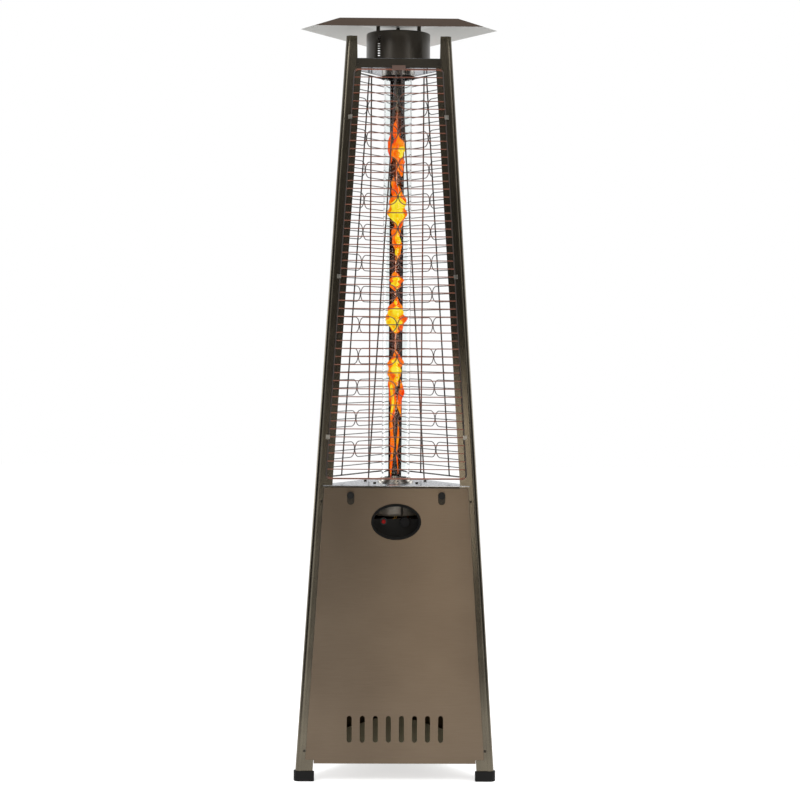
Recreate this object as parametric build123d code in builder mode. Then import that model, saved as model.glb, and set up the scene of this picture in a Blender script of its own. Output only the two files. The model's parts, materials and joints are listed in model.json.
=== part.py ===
from build123d import *

import os
from math import atan, cos, radians, sin, sqrt

# Three-sided tapering frame: side of the sharp-cornered outer triangle, at the floor and at the leg tops
BASE_SIDE = 626.0
TOP_SIDE = 338.6
LEG_TOP = 2297.0

# Legs: folded sheet with a rounded nose, one at each corner
LEG_SHEET = 2.0
LEG_NOSE = 12.0
LEG_FLANGE = 60.0
LEG_TOP_FLANGE = 46.0
NOSE_PROUD = 2.5
NOSE_FLAT = 4.0

# Feet: moulded caps under the legs
FOOT_HEIGHT = 31.0
FOOT_SOLE = 9.0
FOOT_WALL = 6.0
FOOT_FIT = 0.3
FOOT_EDGE = 2.0

# Base plate that carries the gas bottle, and the skirts that bolt it and the deck to the legs
BASE_FLOOR = 112.0
BASE_SHEET = 2.0
BASE_SKIRT = 40.0
SKIRT_SHEET = 2.0
SKIRT_INSET = 24.0
BOLT_INSET = 30.0
BOLT_RADIUS = 2.5
BOLT_HEAD_RADIUS = 4.0
BOLT_HEAD = 3.0
BOLT_TAIL = 8.0
BOLT_FIT = 0.1
BASE_BOLT_DROP = 20.0
DECK_BOLT_DROP = 48.5

# Burner deck
DECK_TOP = 903.5
DECK_SHEET = 2.0
DECK_LIP = 4.0
DECK_CORNER = 28.0
DECK_SKIRT = 64.5
DECK_SLIT_FIT = 0.4
FRONT_SCREW_X = 66.0
FRONT_SCREW_Y = -54.0
REAR_SCREW_X = 95.0
REAR_SCREW_Y = 45.0
SCREW_HEAD_RADIUS = 4.8
SCREW_HEAD = 5.0
SCREW_HEAD_ROUND = 1.5

# Panels of the base: shallow pans in front of the leg flanges
PANEL_BOTTOM = 66.0
PANEL_TOP_GAP = 5.0
PANEL_INSET = 35.0
PANEL_DEPTH = 9.0
PANEL_SHEET = 1.2
PANEL_EDGE = 1.6
PANEL_GAP = 0.5
VENT_COUNT = 8
VENT_PITCH = 40.0
VENT_WIDTH = 15.5
VENT_HEIGHT = 81.0
VENT_CENTRE = 160.0

# Front panel: tongue between the legs, pivots at its foot, oval window and two catches
TONGUE_DROP = 11.0
TONGUE_GAP = 0.8
PIVOT_HEIGHT = 62.0
PIVOT_PROUD = 3.0
PIVOT_RADIUS = 2.5
PIVOT_FIT = 0.05
PIVOT_SEAT_FIT = 0.02
PIVOT_EAR = 5.0
EAR_SHEET = 1.5
EAR_INSET = 11.0
EAR_GAP = 0.4
BRACKET_SHEET = 3.0
BRACKET_RISE = 30.0
WINDOW_CENTRE = 793.0
WINDOW_HALF_WIDTH = 69.0
WINDOW_HALF_HEIGHT = 47.5
BEZEL_RIM = 8.0
BEZEL_PROUD = 3.0
BEZEL_COLLAR = 2.5
BEZEL_DEPTH = 9.0
BEZEL_FIT = 0.2
BEZEL_EDGE = 1.2
CATCH_X = 140.0
CATCH_DROP = 29.5
CATCH_HEAD_RADIUS = 11.0
CATCH_HEAD = 12.0
CATCH_GRIPS = 16
CATCH_GRIP_RADIUS = 1.2
CATCH_SHANK = 3.0
CATCH_SHANK_FIT = 0.1
CATCH_HEAD_GAP = 0.3
CATCH_REACH = 7.0
CATCH_HOLE_FIT = 1.0
CATCH_EDGE = 0.8
CATCH_PLATE_WIDTH = 22.0
CATCH_PLATE_TAIL = 18.0
CATCH_PLATE_SHEET = 1.2
NUT_RADIUS = 8.0
NUT_DEPTH = 6.0

# Tube seat, glass tube, top collar and gasket
SEAT_FLANGE_RADIUS = 56.5
SEAT_FLANGE = 6.0
SEAT_RADIUS = 48.0
SEAT_HEIGHT = 17.0
SEAT_BORE = 38.0
SEAT_EDGE = 1.0
TUBE_RADIUS = 44.0
TUBE_WALL = 3.5
TUBE_FIT = 0.3
TUBE_EXPANSION = 12.0
COLLAR_RADIUS = 52.0
COLLAR_DEPTH = 42.5
GASKET_HEIGHT = 8.5
GASKET_NOTCHES = 22
GASKET_NOTCH_WIDTH = 7.0
GASKET_NOTCH_RISE = 3.5

# Top rails, top plate, shield, slotted drum and reflector
RAIL_TOP = 2226.0
RAIL_HEIGHT = 27.0
RAIL_SHEET = 1.6
RAIL_INSET = 42.0
RAIL_SHELF = 14.0
RAIL_SCREW_INSET = 48.0
SHELF_GAP = 1.0
TOP_SHEET = 2.0
SHIELD_SHEET = 1.2
TOP_CORNER_GAP = 34.0
BADGE_WIDTH = 42.0
BADGE_HEIGHT = 14.5
BADGE_SHEET = 1.2
BADGE_DROP = 21.5
BADGE_PAD = 5.0
BADGE_STANDOFF = 4.0
DRUM_RADIUS = 100.5
DRUM_HEIGHT = 89.0
DRUM_SHEET = 1.2
DRUM_EDGE = 4.0
DRUM_MOUTH = 58.0
DRUM_SLOT_TURN = 127.5
DRUM_SLOT_RISE = 11.0
DRUM_SLOT_ROWS = 9
DRUM_SLOT_WIDTH = 12.0
DRUM_SLOT_HEIGHT = 3.7
DRUM_SLOT_PITCH = 7.4
STANDOFF_RING = 74.0
STANDOFF_RADIUS = 6.0
STANDOFF_HEIGHT = 31.0
REFLECTOR_SHEET = 1.5
REFLECTOR_RISE = 38.0
RIM_REACH = 203.0
RIM_CORNER = 325.0
CROWN_REACH = 117.0
CROWN_CORNER = 217.0
CAP_BOLT_HEAD_RADIUS = 8.0
CAP_BOLT_HEAD = 3.0
CAP_BOLT_RADIUS = 3.0

# Wire guards on the three faces, and the clips that hold them
GUARD_FOOT_GAP = 21.5
GUARD_TOP_GAP = 6.5
GUARD_INSET = 39.0
GUARD_CORNER = 14.0
GUARD_RIM_RADIUS = 2.5
GUARD_WIRE_RADIUS = 1.5
GUARD_SLANT_RADIUS = 2.3
GUARD_SEAT = 0.05
GUARD_WELD = 0.5
GUARD_PITCH = 24.79
GUARD_SPREAD_FOOT = 86.0
GUARD_SPREAD_TOP = 7.5
HAIRPIN_STRAIGHT = 0.02
CLIP_END_ROWS = 5
CLIP_SHEET = 1.5
CLIP_FOOT = 7.0
CLIP_HEIGHT = 13.0
CLIP_FINGER = 6.0
CLIP_GAP = 0.3

# Burner below the deck
BOWL_RADIUS = 77.5
BOWL_DEPTH = 99.5
BOWL_SHEET = 1.5
BOWL_ROUND = 10.0
BOWL_EAR_WIDTH = 18.0
BOWL_EAR_MARGIN = 8.0
INJECTOR_RADIUS = 9.0
INJECTOR_HEIGHT = 16.0
NOZZLE_RADIUS = 4.0
NOZZLE_RISE = 8.0
NOZZLE_FIT = 0.3
MIXER_RADIUS = 15.0
MIXER_WALL = 1.5
MIXER_PORT_RADIUS = 6.0
HEAD_RADIUS = 33.0
HEAD_HEIGHT = 16.0
HEAD_TOP_RISE = 3.0
HEAD_PORT_RADIUS = 2.0
HEAD_PORT_RING = 24.0
HEAD_PORTS = 12

# Controls behind the window
FASCIA_SETBACK = 45.0
FASCIA_SHEET = 2.0
FASCIA_HALF_WIDTH = 84.0
FASCIA_TOP = 798.0
FASCIA_BOTTOM = 728.0
FASCIA_STRAP = 11.0
FASCIA_FOOT = 16.0
CONTROL_HEIGHT = 790.0
VALVE_X = 28.0
VALVE_WIDTH = 42.0
VALVE_DEPTH = 42.0
VALVE_TOP = 797.0
VALVE_BOTTOM = 750.0
VALVE_EDGE = 4.0
SPINDLE_RADIUS = 4.0
SPINDLE_FIT = 0.05
SPINDLE_TRAVEL = 4.0
SPINDLE_BURIED = 18.0
KNOB_RADIUS = 15.5
KNOB_DEPTH = 18.0
KNOB_SOCKET = 12.0
KNOB_FIT = 0.05
KNOB_GAP = 5.0
KNOB_EDGE = 2.0
KNOB_RIB_WIDTH = 6.0
KNOB_RIB_RISE = 3.0
KNOB_RIB_INSET = 2.0
KNOB_RIB_ROUND = 2.0
BUTTON_X = -38.0
BUTTON_RADIUS = 6.5
BUTTON_PROUD = 9.0
BUTTON_BURIED = 14.0
BUTTON_TRAVEL = 5.0
BUTTON_FIT = 0.1
BUTTON_EDGE = 1.5
IGNITER_RADIUS = 10.0
IGNITER_DEPTH = 42.0
IGNITER_COLLAR = 2.5
IGNITER_COLLAR_RADIUS = 11.0
INLET_RADIUS = 8.0
INLET_BORE = 4.0
INLET_LENGTH = 22.0
INLET_NUT_RADIUS = 9.6
INLET_NUT = 7.0
PIPE_RADIUS = 4.0
PIPE_HEIGHT = 762.0
PIPE_BEND = 10.0
PILOT_X = 19.0
PILOT_REACH = 84.0
PILOT_TUBE_RADIUS = 2.5
PILOT_TUBE_TURN = 838.0
PILOT_TUBE_BEND = 7.0
PILOT_FIT = 0.3
PILOT_RING = 52.0
PILOT_SHELF = 850.0
PILOT_SHEET = 1.5
PILOT_WIDTH = 30.0
PILOT_BURNER_RADIUS = 5.0
PILOT_BURNER_HEIGHT = 30.0
ELECTRODE_OFFSET = 11.0
ELECTRODE_RADIUS = 3.0
ELECTRODE_BODY = 24.0
ELECTRODE_TIP = 8.0
ELECTRODE_TIP_RADIUS = 1.0
PROBE_X = 40.0
PROBE_Y = -20.0
PROBE_RADIUS = 2.0
PROBE_HEIGHT = 774.0
PROBE_TOP = 872.0
PROBE_BEND = 8.0
TILT_X = -8.0
TILT_WIDTH = 20.0
TILT_DEPTH = 18.0
TILT_TOP = 772.0
TILT_HEIGHT = 30.0
TILT_EDGE = 3.0

# Derived: taper and lean of the faces
ROOT3 = sqrt(3)
TAPER = (BASE_SIDE - TOP_SIDE) / LEG_TOP
SLOPE = TAPER / (2 * ROOT3)
LEAN = atan(SLOPE)
FACES = {"front": -90, "right": 30, "left": 150}
CORNERS = {"front_left": -150, "front_right": -30, "rear": 90}


def inradius(height):
    """Distance of the leaning faces from the burner axis at a height."""
    return (BASE_SIDE - TAPER * height) / (2 * ROOT3)


def half_side(height):
    """Half the length of the sharp-cornered outer triangle's side at a height."""
    return (BASE_SIDE - TAPER * height) / 2


def up(height):
    """Distance from the floor to a height, measured up a leaning face."""
    return height / cos(LEAN)


# The origin is on the floor, in the middle of the object's box, so the burner axis stands off it
FOOT_REACH = 2 * inradius(FOOT_SOLE) - LEG_NOSE + FOOT_WALL
AXIS_Y = (max(RIM_REACH, FOOT_REACH / 2) - max(RIM_CORNER, FOOT_REACH)) / 2
BURNER_AXIS = Axis((0, AXIS_Y, 0), (0, 0, 1))


def level(height):
    """Horizontal plane whose origin is on the burner axis."""
    return Plane((0, AXIS_Y, height))


def corner_plane(angle, height):
    """Horizontal plane on the burner axis with its x axis towards a corner."""
    radial = (cos(radians(angle)), sin(radians(angle)), 0)
    return Plane((0, AXIS_Y, height), x_dir=radial, z_dir=(0, 0, 1))


def face(angle):
    """Plane in a leaning face: x to the right seen from outside, y up the face from the floor, z outwards."""
    across = (cos(radians(angle)), sin(radians(angle)))
    reach = inradius(0)
    origin = (across[0] * reach, AXIS_Y + across[1] * reach, 0)
    outwards = (across[0] * cos(LEAN), across[1] * cos(LEAN), sin(LEAN))
    return Plane(origin, x_dir=(-across[1], across[0], 0), z_dir=outwards)


def facing(x, y, height):
    """Upright plane facing the front, with x to the right and y up, at a point given from the burner axis."""
    return Plane((x, AXIS_Y + y, height), x_dir=(1, 0, 0), z_dir=(0, -1, 0))


def profile_plane(x, y, height):
    """Upright plane across the width, with x to the rear and y up, at a point given from the burner axis."""
    return Plane((x, AXIS_Y + y, height), x_dir=(0, 1, 0), z_dir=(1, 0, 0))


def cut_triangle(reach, corner):
    """Points of a triangle round the burner axis, with its three corners cut square."""
    half = (2 * reach - corner) / ROOT3
    points = []
    for angle in CORNERS.values():
        radial = Vector(cos(radians(angle)), sin(radians(angle)))
        tangent = Vector(-radial.Y, radial.X)
        points.append(radial * corner - tangent * half)
        points.append(radial * corner + tangent * half)
    return points


def band(low, high, inset):
    """Points of a strip of a face between two heights, inset from the sharp corners."""
    foot = half_side(low) - inset
    head = half_side(high) - inset
    return [(-foot, up(low)), (foot, up(low)), (head, up(high)), (-head, up(high))]


def face_ends(height, inset):
    """The two places on a face at a height, inset from the sharp corners."""
    x = half_side(height) - inset
    return [(-x, up(height)), (x, up(height))]


def folded(tip, length, proud):
    """Points of a folded strip that stands proud of a leg's faces, its inner side on the leg's inner side."""
    along = Vector(-ROOT3 / 2, 0.5)
    outwards = Vector(0.5, ROOT3 / 2)
    end = Vector(tip, 0) + along * length + outwards * proud
    inner_end = Vector(tip, 0) + along * length - outwards * LEG_SHEET
    return [
        (tip + 2 * proud, 0),
        (end.X, end.Y),
        (inner_end.X, inner_end.Y),
        (tip - 2 * LEG_SHEET, 0),
        (inner_end.X, -inner_end.Y),
        (end.X, -end.Y),
    ]


def leg_section(plane, height):
    """Sketch of a leg's folded section on a corner plane: two flanges and a thicker nose."""
    tip = 2 * inradius(height)
    with BuildSketch(plane) as section:
        Polygon(*folded(tip, LEG_FLANGE, 0))
        Polygon(*folded(tip, LEG_NOSE * ROOT3 + NOSE_FLAT, NOSE_PROUD))
        fillet(section.vertices().sort_by(Axis.X)[-2], LEG_NOSE - LEG_SHEET)
        fillet(section.vertices().sort_by(Axis.X)[-1], LEG_NOSE + NOSE_PROUD)
    return section


def leg_run(angle, low, high):
    """Vector along a leaning leg from one height to another."""
    inwards = 2 * (inradius(low) - inradius(high))
    return Vector(-inwards * cos(radians(angle)), -inwards * sin(radians(angle)), high - low)


def save(part, name):
    """Label a finished piece and write it."""
    part.label = name
    export_step(part, f"parts/{name}.step")


os.makedirs("parts", exist_ok=True)

# Heights that follow from the sizes above
BASE_BOLT_HEIGHT = BASE_FLOOR - BASE_BOLT_DROP
DECK_BOLT_HEIGHT = DECK_TOP - DECK_BOLT_DROP
DECK_UNDER = DECK_TOP - DECK_SHEET
PANEL_TOP = DECK_UNDER - PANEL_TOP_GAP
CATCH_HEIGHT = DECK_TOP - CATCH_DROP
TUBE_FOOT = DECK_TOP + SEAT_FLANGE
TUBE_TOP = RAIL_TOP - TUBE_EXPANSION
RAIL_FOOT = RAIL_TOP - RAIL_HEIGHT
DRUM_FOOT = RAIL_TOP + TOP_SHEET
DRUM_TOP = DRUM_FOOT + DRUM_HEIGHT
CROWN_TOP = DRUM_TOP + STANDOFF_HEIGHT + REFLECTOR_SHEET
GUARD_FOOT = DECK_TOP + GUARD_FOOT_GAP
GUARD_TOP = RAIL_FOOT - GUARD_TOP_GAP
BOLT_HEIGHTS = (BASE_BOLT_HEIGHT, DECK_BOLT_HEIGHT)
SCREW_PLACES = [
    (-FRONT_SCREW_X, FRONT_SCREW_Y),
    (FRONT_SCREW_X, FRONT_SCREW_Y),
    (-REAR_SCREW_X, REAR_SCREW_Y),
    (REAR_SCREW_X, REAR_SCREW_Y),
]

# Legs and feet
for corner, angle in CORNERS.items():
    leg_plane = corner_plane(angle, FOOT_SOLE)
    run = leg_run(angle, FOOT_SOLE, LEG_TOP)
    section = leg_section(leg_plane, FOOT_SOLE)
    slit_edge = 2 * inradius(DECK_TOP) - DECK_CORNER * ROOT3 / 2 + DECK_SLIT_FIT
    with BuildPart() as leg:
        extrude(section.sketch, amount=run.length, dir=run)
        with BuildSketch(corner_plane(angle, DECK_UNDER)):
            with Locations((slit_edge, 0)):
                Rectangle(LEG_FLANGE, 3 * LEG_FLANGE, align=(Align.MAX, Align.CENTER))
        extrude(amount=DECK_SHEET + DECK_SLIT_FIT, mode=Mode.SUBTRACT)
        with BuildSketch(corner_plane(angle, RAIL_TOP)):
            with Locations((2 * inradius(RAIL_TOP) - LEG_TOP_FLANGE * ROOT3 / 2, 0)):
                Rectangle(LEG_FLANGE, 3 * LEG_FLANGE, align=(Align.MAX, Align.CENTER))
        extrude(amount=LEG_TOP, mode=Mode.SUBTRACT)
        for face_angle, end in ((angle + 60, 0), (angle - 60, 1)):
            with BuildSketch(face(face_angle)):
                with Locations(*[face_ends(height, BOLT_INSET)[end] for height in BOLT_HEIGHTS]):
                    Circle(BOLT_RADIUS + BOLT_FIT)
                with Locations(face_ends(RAIL_TOP - RAIL_HEIGHT / 2, RAIL_SCREW_INSET)[end]):
                    Circle(BOLT_RADIUS + BOLT_FIT)
            extrude(amount=2 * LEG_SHEET, both=True, mode=Mode.SUBTRACT)
    save(leg.part, f"leg_{corner}")

    tip = 2 * inradius(FOOT_SOLE)
    with BuildPart() as foot:
        with BuildSketch(corner_plane(angle, 0)) as pad:
            Polygon(
                (tip, 0),
                (tip - LEG_FLANGE * ROOT3 / 2, LEG_FLANGE / 2),
                (tip - LEG_FLANGE * ROOT3 / 2, -LEG_FLANGE / 2),
            )
            fillet(pad.vertices().sort_by(Axis.X)[-1], LEG_NOSE)
            offset(amount=FOOT_WALL)
        extrude(amount=FOOT_HEIGHT)
        socket = offset(section.sketch_local, amount=FOOT_FIT, mode=Mode.PRIVATE)
        lift = leg_run(angle, FOOT_SOLE, FOOT_HEIGHT + FOOT_WALL)
        extrude(leg_plane * socket, amount=lift.length, dir=lift, mode=Mode.SUBTRACT)
        fillet(foot.faces().sort_by(Axis.Z)[0].outer_wire().edges(), FOOT_EDGE)
    save(foot.part, f"foot_{corner}")

# Base plate: flat floor for the bottle, with skirts bolted behind the leg flanges
with BuildPart() as base_plate:
    floor_reach = inradius(BASE_FLOOR) - LEG_SHEET - SKIRT_SHEET / 2
    with BuildSketch(level(BASE_FLOOR)):
        Polygon(*cut_triangle(floor_reach, 2 * inradius(BASE_FLOOR) - SKIRT_INSET - 4 * LEG_SHEET))
    extrude(amount=-BASE_SHEET)
    for angle in FACES.values():
        with BuildSketch(face(angle).offset(-LEG_SHEET)):
            Polygon(*band(BASE_FLOOR - BASE_SKIRT, BASE_FLOOR - BASE_SHEET / 2, SKIRT_INSET))
            with Locations(*face_ends(BASE_BOLT_HEIGHT, BOLT_INSET)):
                Circle(BOLT_RADIUS + BOLT_FIT, mode=Mode.SUBTRACT)
        extrude(amount=-SKIRT_SHEET)
save(base_plate.part, "base_plate")

# Burner deck: its corners pass through slits in the leg flanges
with BuildPart() as burner_deck:
    deck_corner = 2 * inradius(DECK_TOP) - DECK_CORNER * ROOT3 / 2
    with BuildSketch(level(DECK_TOP)):
        Polygon(*cut_triangle(inradius(DECK_TOP) + DECK_LIP, deck_corner))
        Circle(SEAT_BORE, mode=Mode.SUBTRACT)
        with Locations(*SCREW_PLACES):
            Circle(BOLT_RADIUS + BOLT_FIT, mode=Mode.SUBTRACT)
    extrude(amount=-DECK_SHEET)
save(burner_deck.part, "burner_deck")

# Skirts under the deck, bolted behind the leg flanges
with BuildPart() as deck_skirts:
    for angle in FACES.values():
        with BuildSketch(face(angle).offset(-LEG_SHEET)):
            Polygon(*band(DECK_TOP - DECK_SKIRT, DECK_UNDER, SKIRT_INSET))
            with Locations(*face_ends(DECK_BOLT_HEIGHT, BOLT_INSET)):
                Circle(BOLT_RADIUS + BOLT_FIT, mode=Mode.SUBTRACT)
            if angle == FACES["front"]:
                with Locations((-CATCH_X, up(CATCH_HEIGHT)), (CATCH_X, up(CATCH_HEIGHT))):
                    Circle(CATCH_SHANK + CATCH_HOLE_FIT, mode=Mode.SUBTRACT)
                with Locations((0, up(WINDOW_CENTRE))):
                    Rectangle(
                        2 * (WINDOW_HALF_WIDTH + 2 * BEZEL_RIM),
                        2 * (WINDOW_HALF_HEIGHT + 2 * BEZEL_RIM),
                        mode=Mode.SUBTRACT,
                    )
        extrude(amount=-SKIRT_SHEET)
save(deck_skirts.part, "deck_skirts")


def panel_pan(plane, outline):
    """Shallow pan on a plane, open at its back and closed in front."""
    with BuildPart() as pan:
        with BuildSketch(plane):
            Polygon(*outline)
        extrude(amount=PANEL_DEPTH)
        fillet(pan.faces().sort_by(Axis(plane.origin, plane.z_dir))[-1].edges(), PANEL_EDGE)
        with BuildSketch(plane):
            Polygon(*outline)
            offset(amount=-PANEL_SHEET, kind=Kind.INTERSECTION)
        extrude(amount=PANEL_DEPTH - PANEL_SHEET, mode=Mode.SUBTRACT)
    return pan.part


# Fixed panels on the two rear faces
for name in ("left", "right"):
    side_panel = panel_pan(face(FACES[name]), band(PANEL_BOTTOM, PANEL_TOP, PANEL_INSET))
    save(side_panel, f"side_panel_{name}")

# Front panel: tips forward on two pivots at its foot
front = face(FACES["front"])
door_plane = front.offset(PANEL_GAP)
tongue = half_side(PANEL_BOTTOM) - LEG_FLANGE - TONGUE_GAP
wing_foot, _, wing_head, _ = band(PANEL_BOTTOM, PANEL_TOP, PANEL_INSET)
door_outline = [
    (-tongue, up(PANEL_BOTTOM - TONGUE_DROP)),
    (tongue, up(PANEL_BOTTOM - TONGUE_DROP)),
    (tongue, up(PANEL_BOTTOM)),
    (-wing_foot[0], up(PANEL_BOTTOM)),
    wing_head,
    (-wing_head[0], up(PANEL_TOP)),
    wing_foot,
    (-tongue, up(PANEL_BOTTOM)),
]
pivot_y = -inradius(PIVOT_HEIGHT) - PIVOT_PROUD
ear_x = half_side(PIVOT_HEIGHT) - LEG_FLANGE - EAR_INSET
ear_reach = PANEL_GAP + PANEL_DEPTH - PANEL_SHEET / 2 - PIVOT_PROUD
door_pan = panel_pan(door_plane, door_outline)
with BuildPart() as front_panel:
    add(door_pan)
    with BuildSketch(door_plane):
        with Locations((0, up(WINDOW_CENTRE))):
            Ellipse(WINDOW_HALF_WIDTH + BEZEL_COLLAR, WINDOW_HALF_HEIGHT + BEZEL_COLLAR)
        with Locations((-CATCH_X, up(CATCH_HEIGHT)), (CATCH_X, up(CATCH_HEIGHT))):
            Circle(CATCH_SHANK + CATCH_SHANK_FIT)
        with Locations((0, up(VENT_CENTRE))):
            with GridLocations(VENT_PITCH, 0, VENT_COUNT, 1):
                SlotOverall(VENT_HEIGHT, VENT_WIDTH, rotation=90)
    extrude(amount=PANEL_DEPTH, mode=Mode.SUBTRACT)
    for x in (-ear_x - EAR_SHEET, ear_x):
        with BuildSketch(profile_plane(x, pivot_y, PIVOT_HEIGHT)):
            Circle(PIVOT_EAR)
            Rectangle(ear_reach, 2 * PIVOT_EAR, align=(Align.MAX, Align.CENTER))
            Circle(PIVOT_RADIUS + PIVOT_FIT, mode=Mode.SUBTRACT)
        extrude(amount=EAR_SHEET)
save(front_panel.part, "front_panel")

# Brackets on the base skirt and the pins that the front panel turns on
bracket_x = ear_x - EAR_GAP - BRACKET_SHEET
bracket_back = PIVOT_PROUD + LEG_SHEET
bracket_low = BASE_FLOOR - BASE_SKIRT - PIVOT_HEIGHT
with BuildPart() as hinge_brackets:
    for x in (-bracket_x - BRACKET_SHEET, bracket_x):
        with BuildSketch(profile_plane(x, pivot_y, PIVOT_HEIGHT)):
            Circle(PIVOT_EAR)
            Polygon(
                (-PIVOT_EAR, 0),
                (PIVOT_EAR, 0),
                (bracket_back + bracket_low * SLOPE, bracket_low),
                (bracket_back + (bracket_low + BRACKET_RISE) * SLOPE, bracket_low + BRACKET_RISE),
                (0, bracket_low + BRACKET_RISE),
            )
            Circle(PIVOT_RADIUS + PIVOT_SEAT_FIT, mode=Mode.SUBTRACT)
        extrude(amount=BRACKET_SHEET)
save(hinge_brackets.part, "hinge_brackets")

with BuildPart() as hinge_pins:
    pin_length = BRACKET_SHEET + 2 * EAR_GAP + EAR_SHEET
    for x, turn in ((-bracket_x, -1), (bracket_x, 1)):
        with BuildSketch(profile_plane(x, pivot_y, PIVOT_HEIGHT)):
            Circle(PIVOT_RADIUS)
        extrude(amount=turn * pin_length)
        with BuildSketch(profile_plane(x + turn * pin_length, pivot_y, PIVOT_HEIGHT)):
            Circle(PIVOT_EAR - PIVOT_FIT)
        extrude(amount=turn * EAR_SHEET)
save(hinge_pins.part, "hinge_pins")

# Oval window bezel, set in the front panel
bezel_plane = door_plane.offset(PANEL_DEPTH)
with BuildPart() as window_bezel:
    with BuildSketch(bezel_plane):
        with Locations((0, up(WINDOW_CENTRE))):
            Ellipse(WINDOW_HALF_WIDTH + BEZEL_RIM, WINDOW_HALF_HEIGHT + BEZEL_RIM)
            Ellipse(WINDOW_HALF_WIDTH, WINDOW_HALF_HEIGHT, mode=Mode.SUBTRACT)
    extrude(amount=BEZEL_PROUD)
    bezel_axis = Axis(bezel_plane.origin, bezel_plane.z_dir)
    fillet(window_bezel.faces().sort_by(bezel_axis)[-1].edges(), BEZEL_EDGE)
    with BuildSketch(bezel_plane):
        with Locations((0, up(WINDOW_CENTRE))):
            Ellipse(
                WINDOW_HALF_WIDTH + BEZEL_COLLAR - BEZEL_FIT,
                WINDOW_HALF_HEIGHT + BEZEL_COLLAR - BEZEL_FIT,
            )
            Ellipse(WINDOW_HALF_WIDTH, WINDOW_HALF_HEIGHT, mode=Mode.SUBTRACT)
    extrude(amount=-BEZEL_DEPTH)
save(window_bezel.part, "window_bezel")

# Oblong wear plates on the panel, thumb catches over them, and the weld nuts that the catches screw into
with BuildPart() as catch_plates:
    with BuildSketch(bezel_plane):
        tail = up(CATCH_HEIGHT) - CATCH_PLATE_TAIL / 2
        with Locations((-CATCH_X, tail), (CATCH_X, tail)):
            SlotCenterToCenter(CATCH_PLATE_TAIL, CATCH_PLATE_WIDTH, rotation=90)
        with Locations((-CATCH_X, up(CATCH_HEIGHT)), (CATCH_X, up(CATCH_HEIGHT))):
            Circle(CATCH_SHANK + CATCH_SHANK_FIT, mode=Mode.SUBTRACT)
    extrude(amount=CATCH_PLATE_SHEET)
save(catch_plates.part, "catch_plates")

head_seat = CATCH_PLATE_SHEET + CATCH_HEAD_GAP
shank_length = head_seat + PANEL_DEPTH + PANEL_GAP + LEG_SHEET + SKIRT_SHEET + CATCH_REACH
for name, x in (("left", -CATCH_X), ("right", CATCH_X)):
    catch_plane = Plane(
        bezel_plane.from_local_coords(Vector(x, up(CATCH_HEIGHT), head_seat)),
        x_dir=bezel_plane.x_dir,
        z_dir=bezel_plane.z_dir,
    )
    with BuildPart() as catch:
        with BuildSketch(catch_plane):
            Circle(CATCH_HEAD_RADIUS)
            with PolarLocations(CATCH_HEAD_RADIUS, CATCH_GRIPS):
                Circle(CATCH_GRIP_RADIUS, mode=Mode.SUBTRACT)
        extrude(amount=CATCH_HEAD)
        with BuildSketch(catch_plane):
            Circle(CATCH_SHANK)
        extrude(amount=-shank_length)
        chamfer(catch.faces().sort_by(bezel_axis)[-1].edges(), CATCH_EDGE)
    save(catch.part, f"catch_{name}")

with BuildPart() as catch_nuts:
    with BuildSketch(front.offset(-LEG_SHEET - SKIRT_SHEET)):
        with Locations((-CATCH_X, up(CATCH_HEIGHT)), (CATCH_X, up(CATCH_HEIGHT))):
            RegularPolygon(NUT_RADIUS, 6)
            Circle(CATCH_SHANK + CATCH_HOLE_FIT, mode=Mode.SUBTRACT)
    extrude(amount=-NUT_DEPTH)
save(catch_nuts.part, "catch_nuts")


def bolt_group(height):
    """Bolts through both leg flanges of every face at a height."""
    with BuildPart() as bolts:
        for angle in FACES.values():
            with BuildSketch(face(angle)):
                with Locations(*face_ends(height, BOLT_INSET)):
                    RegularPolygon(BOLT_HEAD_RADIUS, 6)
            extrude(amount=BOLT_HEAD)
            with BuildSketch(face(angle)):
                with Locations(*face_ends(height, BOLT_INSET)):
                    Circle(BOLT_RADIUS)
            extrude(amount=-BOLT_TAIL)
    return bolts.part


save(bolt_group(BASE_BOLT_HEIGHT), "base_bolts")
save(bolt_group(DECK_BOLT_HEIGHT), "deck_bolts")

# Tube seat on the deck, glass tube and the collar that holds its top
with BuildPart() as tube_seat:
    with BuildSketch(level(DECK_TOP)):
        Circle(SEAT_FLANGE_RADIUS)
        Circle(SEAT_BORE, mode=Mode.SUBTRACT)
    extrude(amount=SEAT_FLANGE)
    with BuildSketch(level(DECK_TOP + SEAT_FLANGE)):
        Circle(SEAT_RADIUS)
        Circle(TUBE_RADIUS + TUBE_FIT, mode=Mode.SUBTRACT)
    extrude(amount=SEAT_HEIGHT - SEAT_FLANGE)
    seat_rim = tube_seat.edges().filter_by(GeomType.CIRCLE).group_by(Axis.Z)[-1]
    chamfer(seat_rim.sort_by(SortBy.RADIUS)[-1], SEAT_EDGE)
save(tube_seat.part, "tube_seat")

with BuildPart() as glass_tube:
    with BuildSketch(level(TUBE_FOOT)):
        Circle(TUBE_RADIUS)
        Circle(TUBE_RADIUS - TUBE_WALL, mode=Mode.SUBTRACT)
    extrude(amount=TUBE_TOP - TUBE_FOOT)
save(glass_tube.part, "glass_tube")

with BuildPart() as top_collar:
    with BuildSketch(level(RAIL_TOP)):
        Circle(COLLAR_RADIUS)
        Circle(TUBE_RADIUS + 2 * TUBE_FIT, mode=Mode.SUBTRACT)
    extrude(amount=-COLLAR_DEPTH)
save(top_collar.part, "top_collar")

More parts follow.
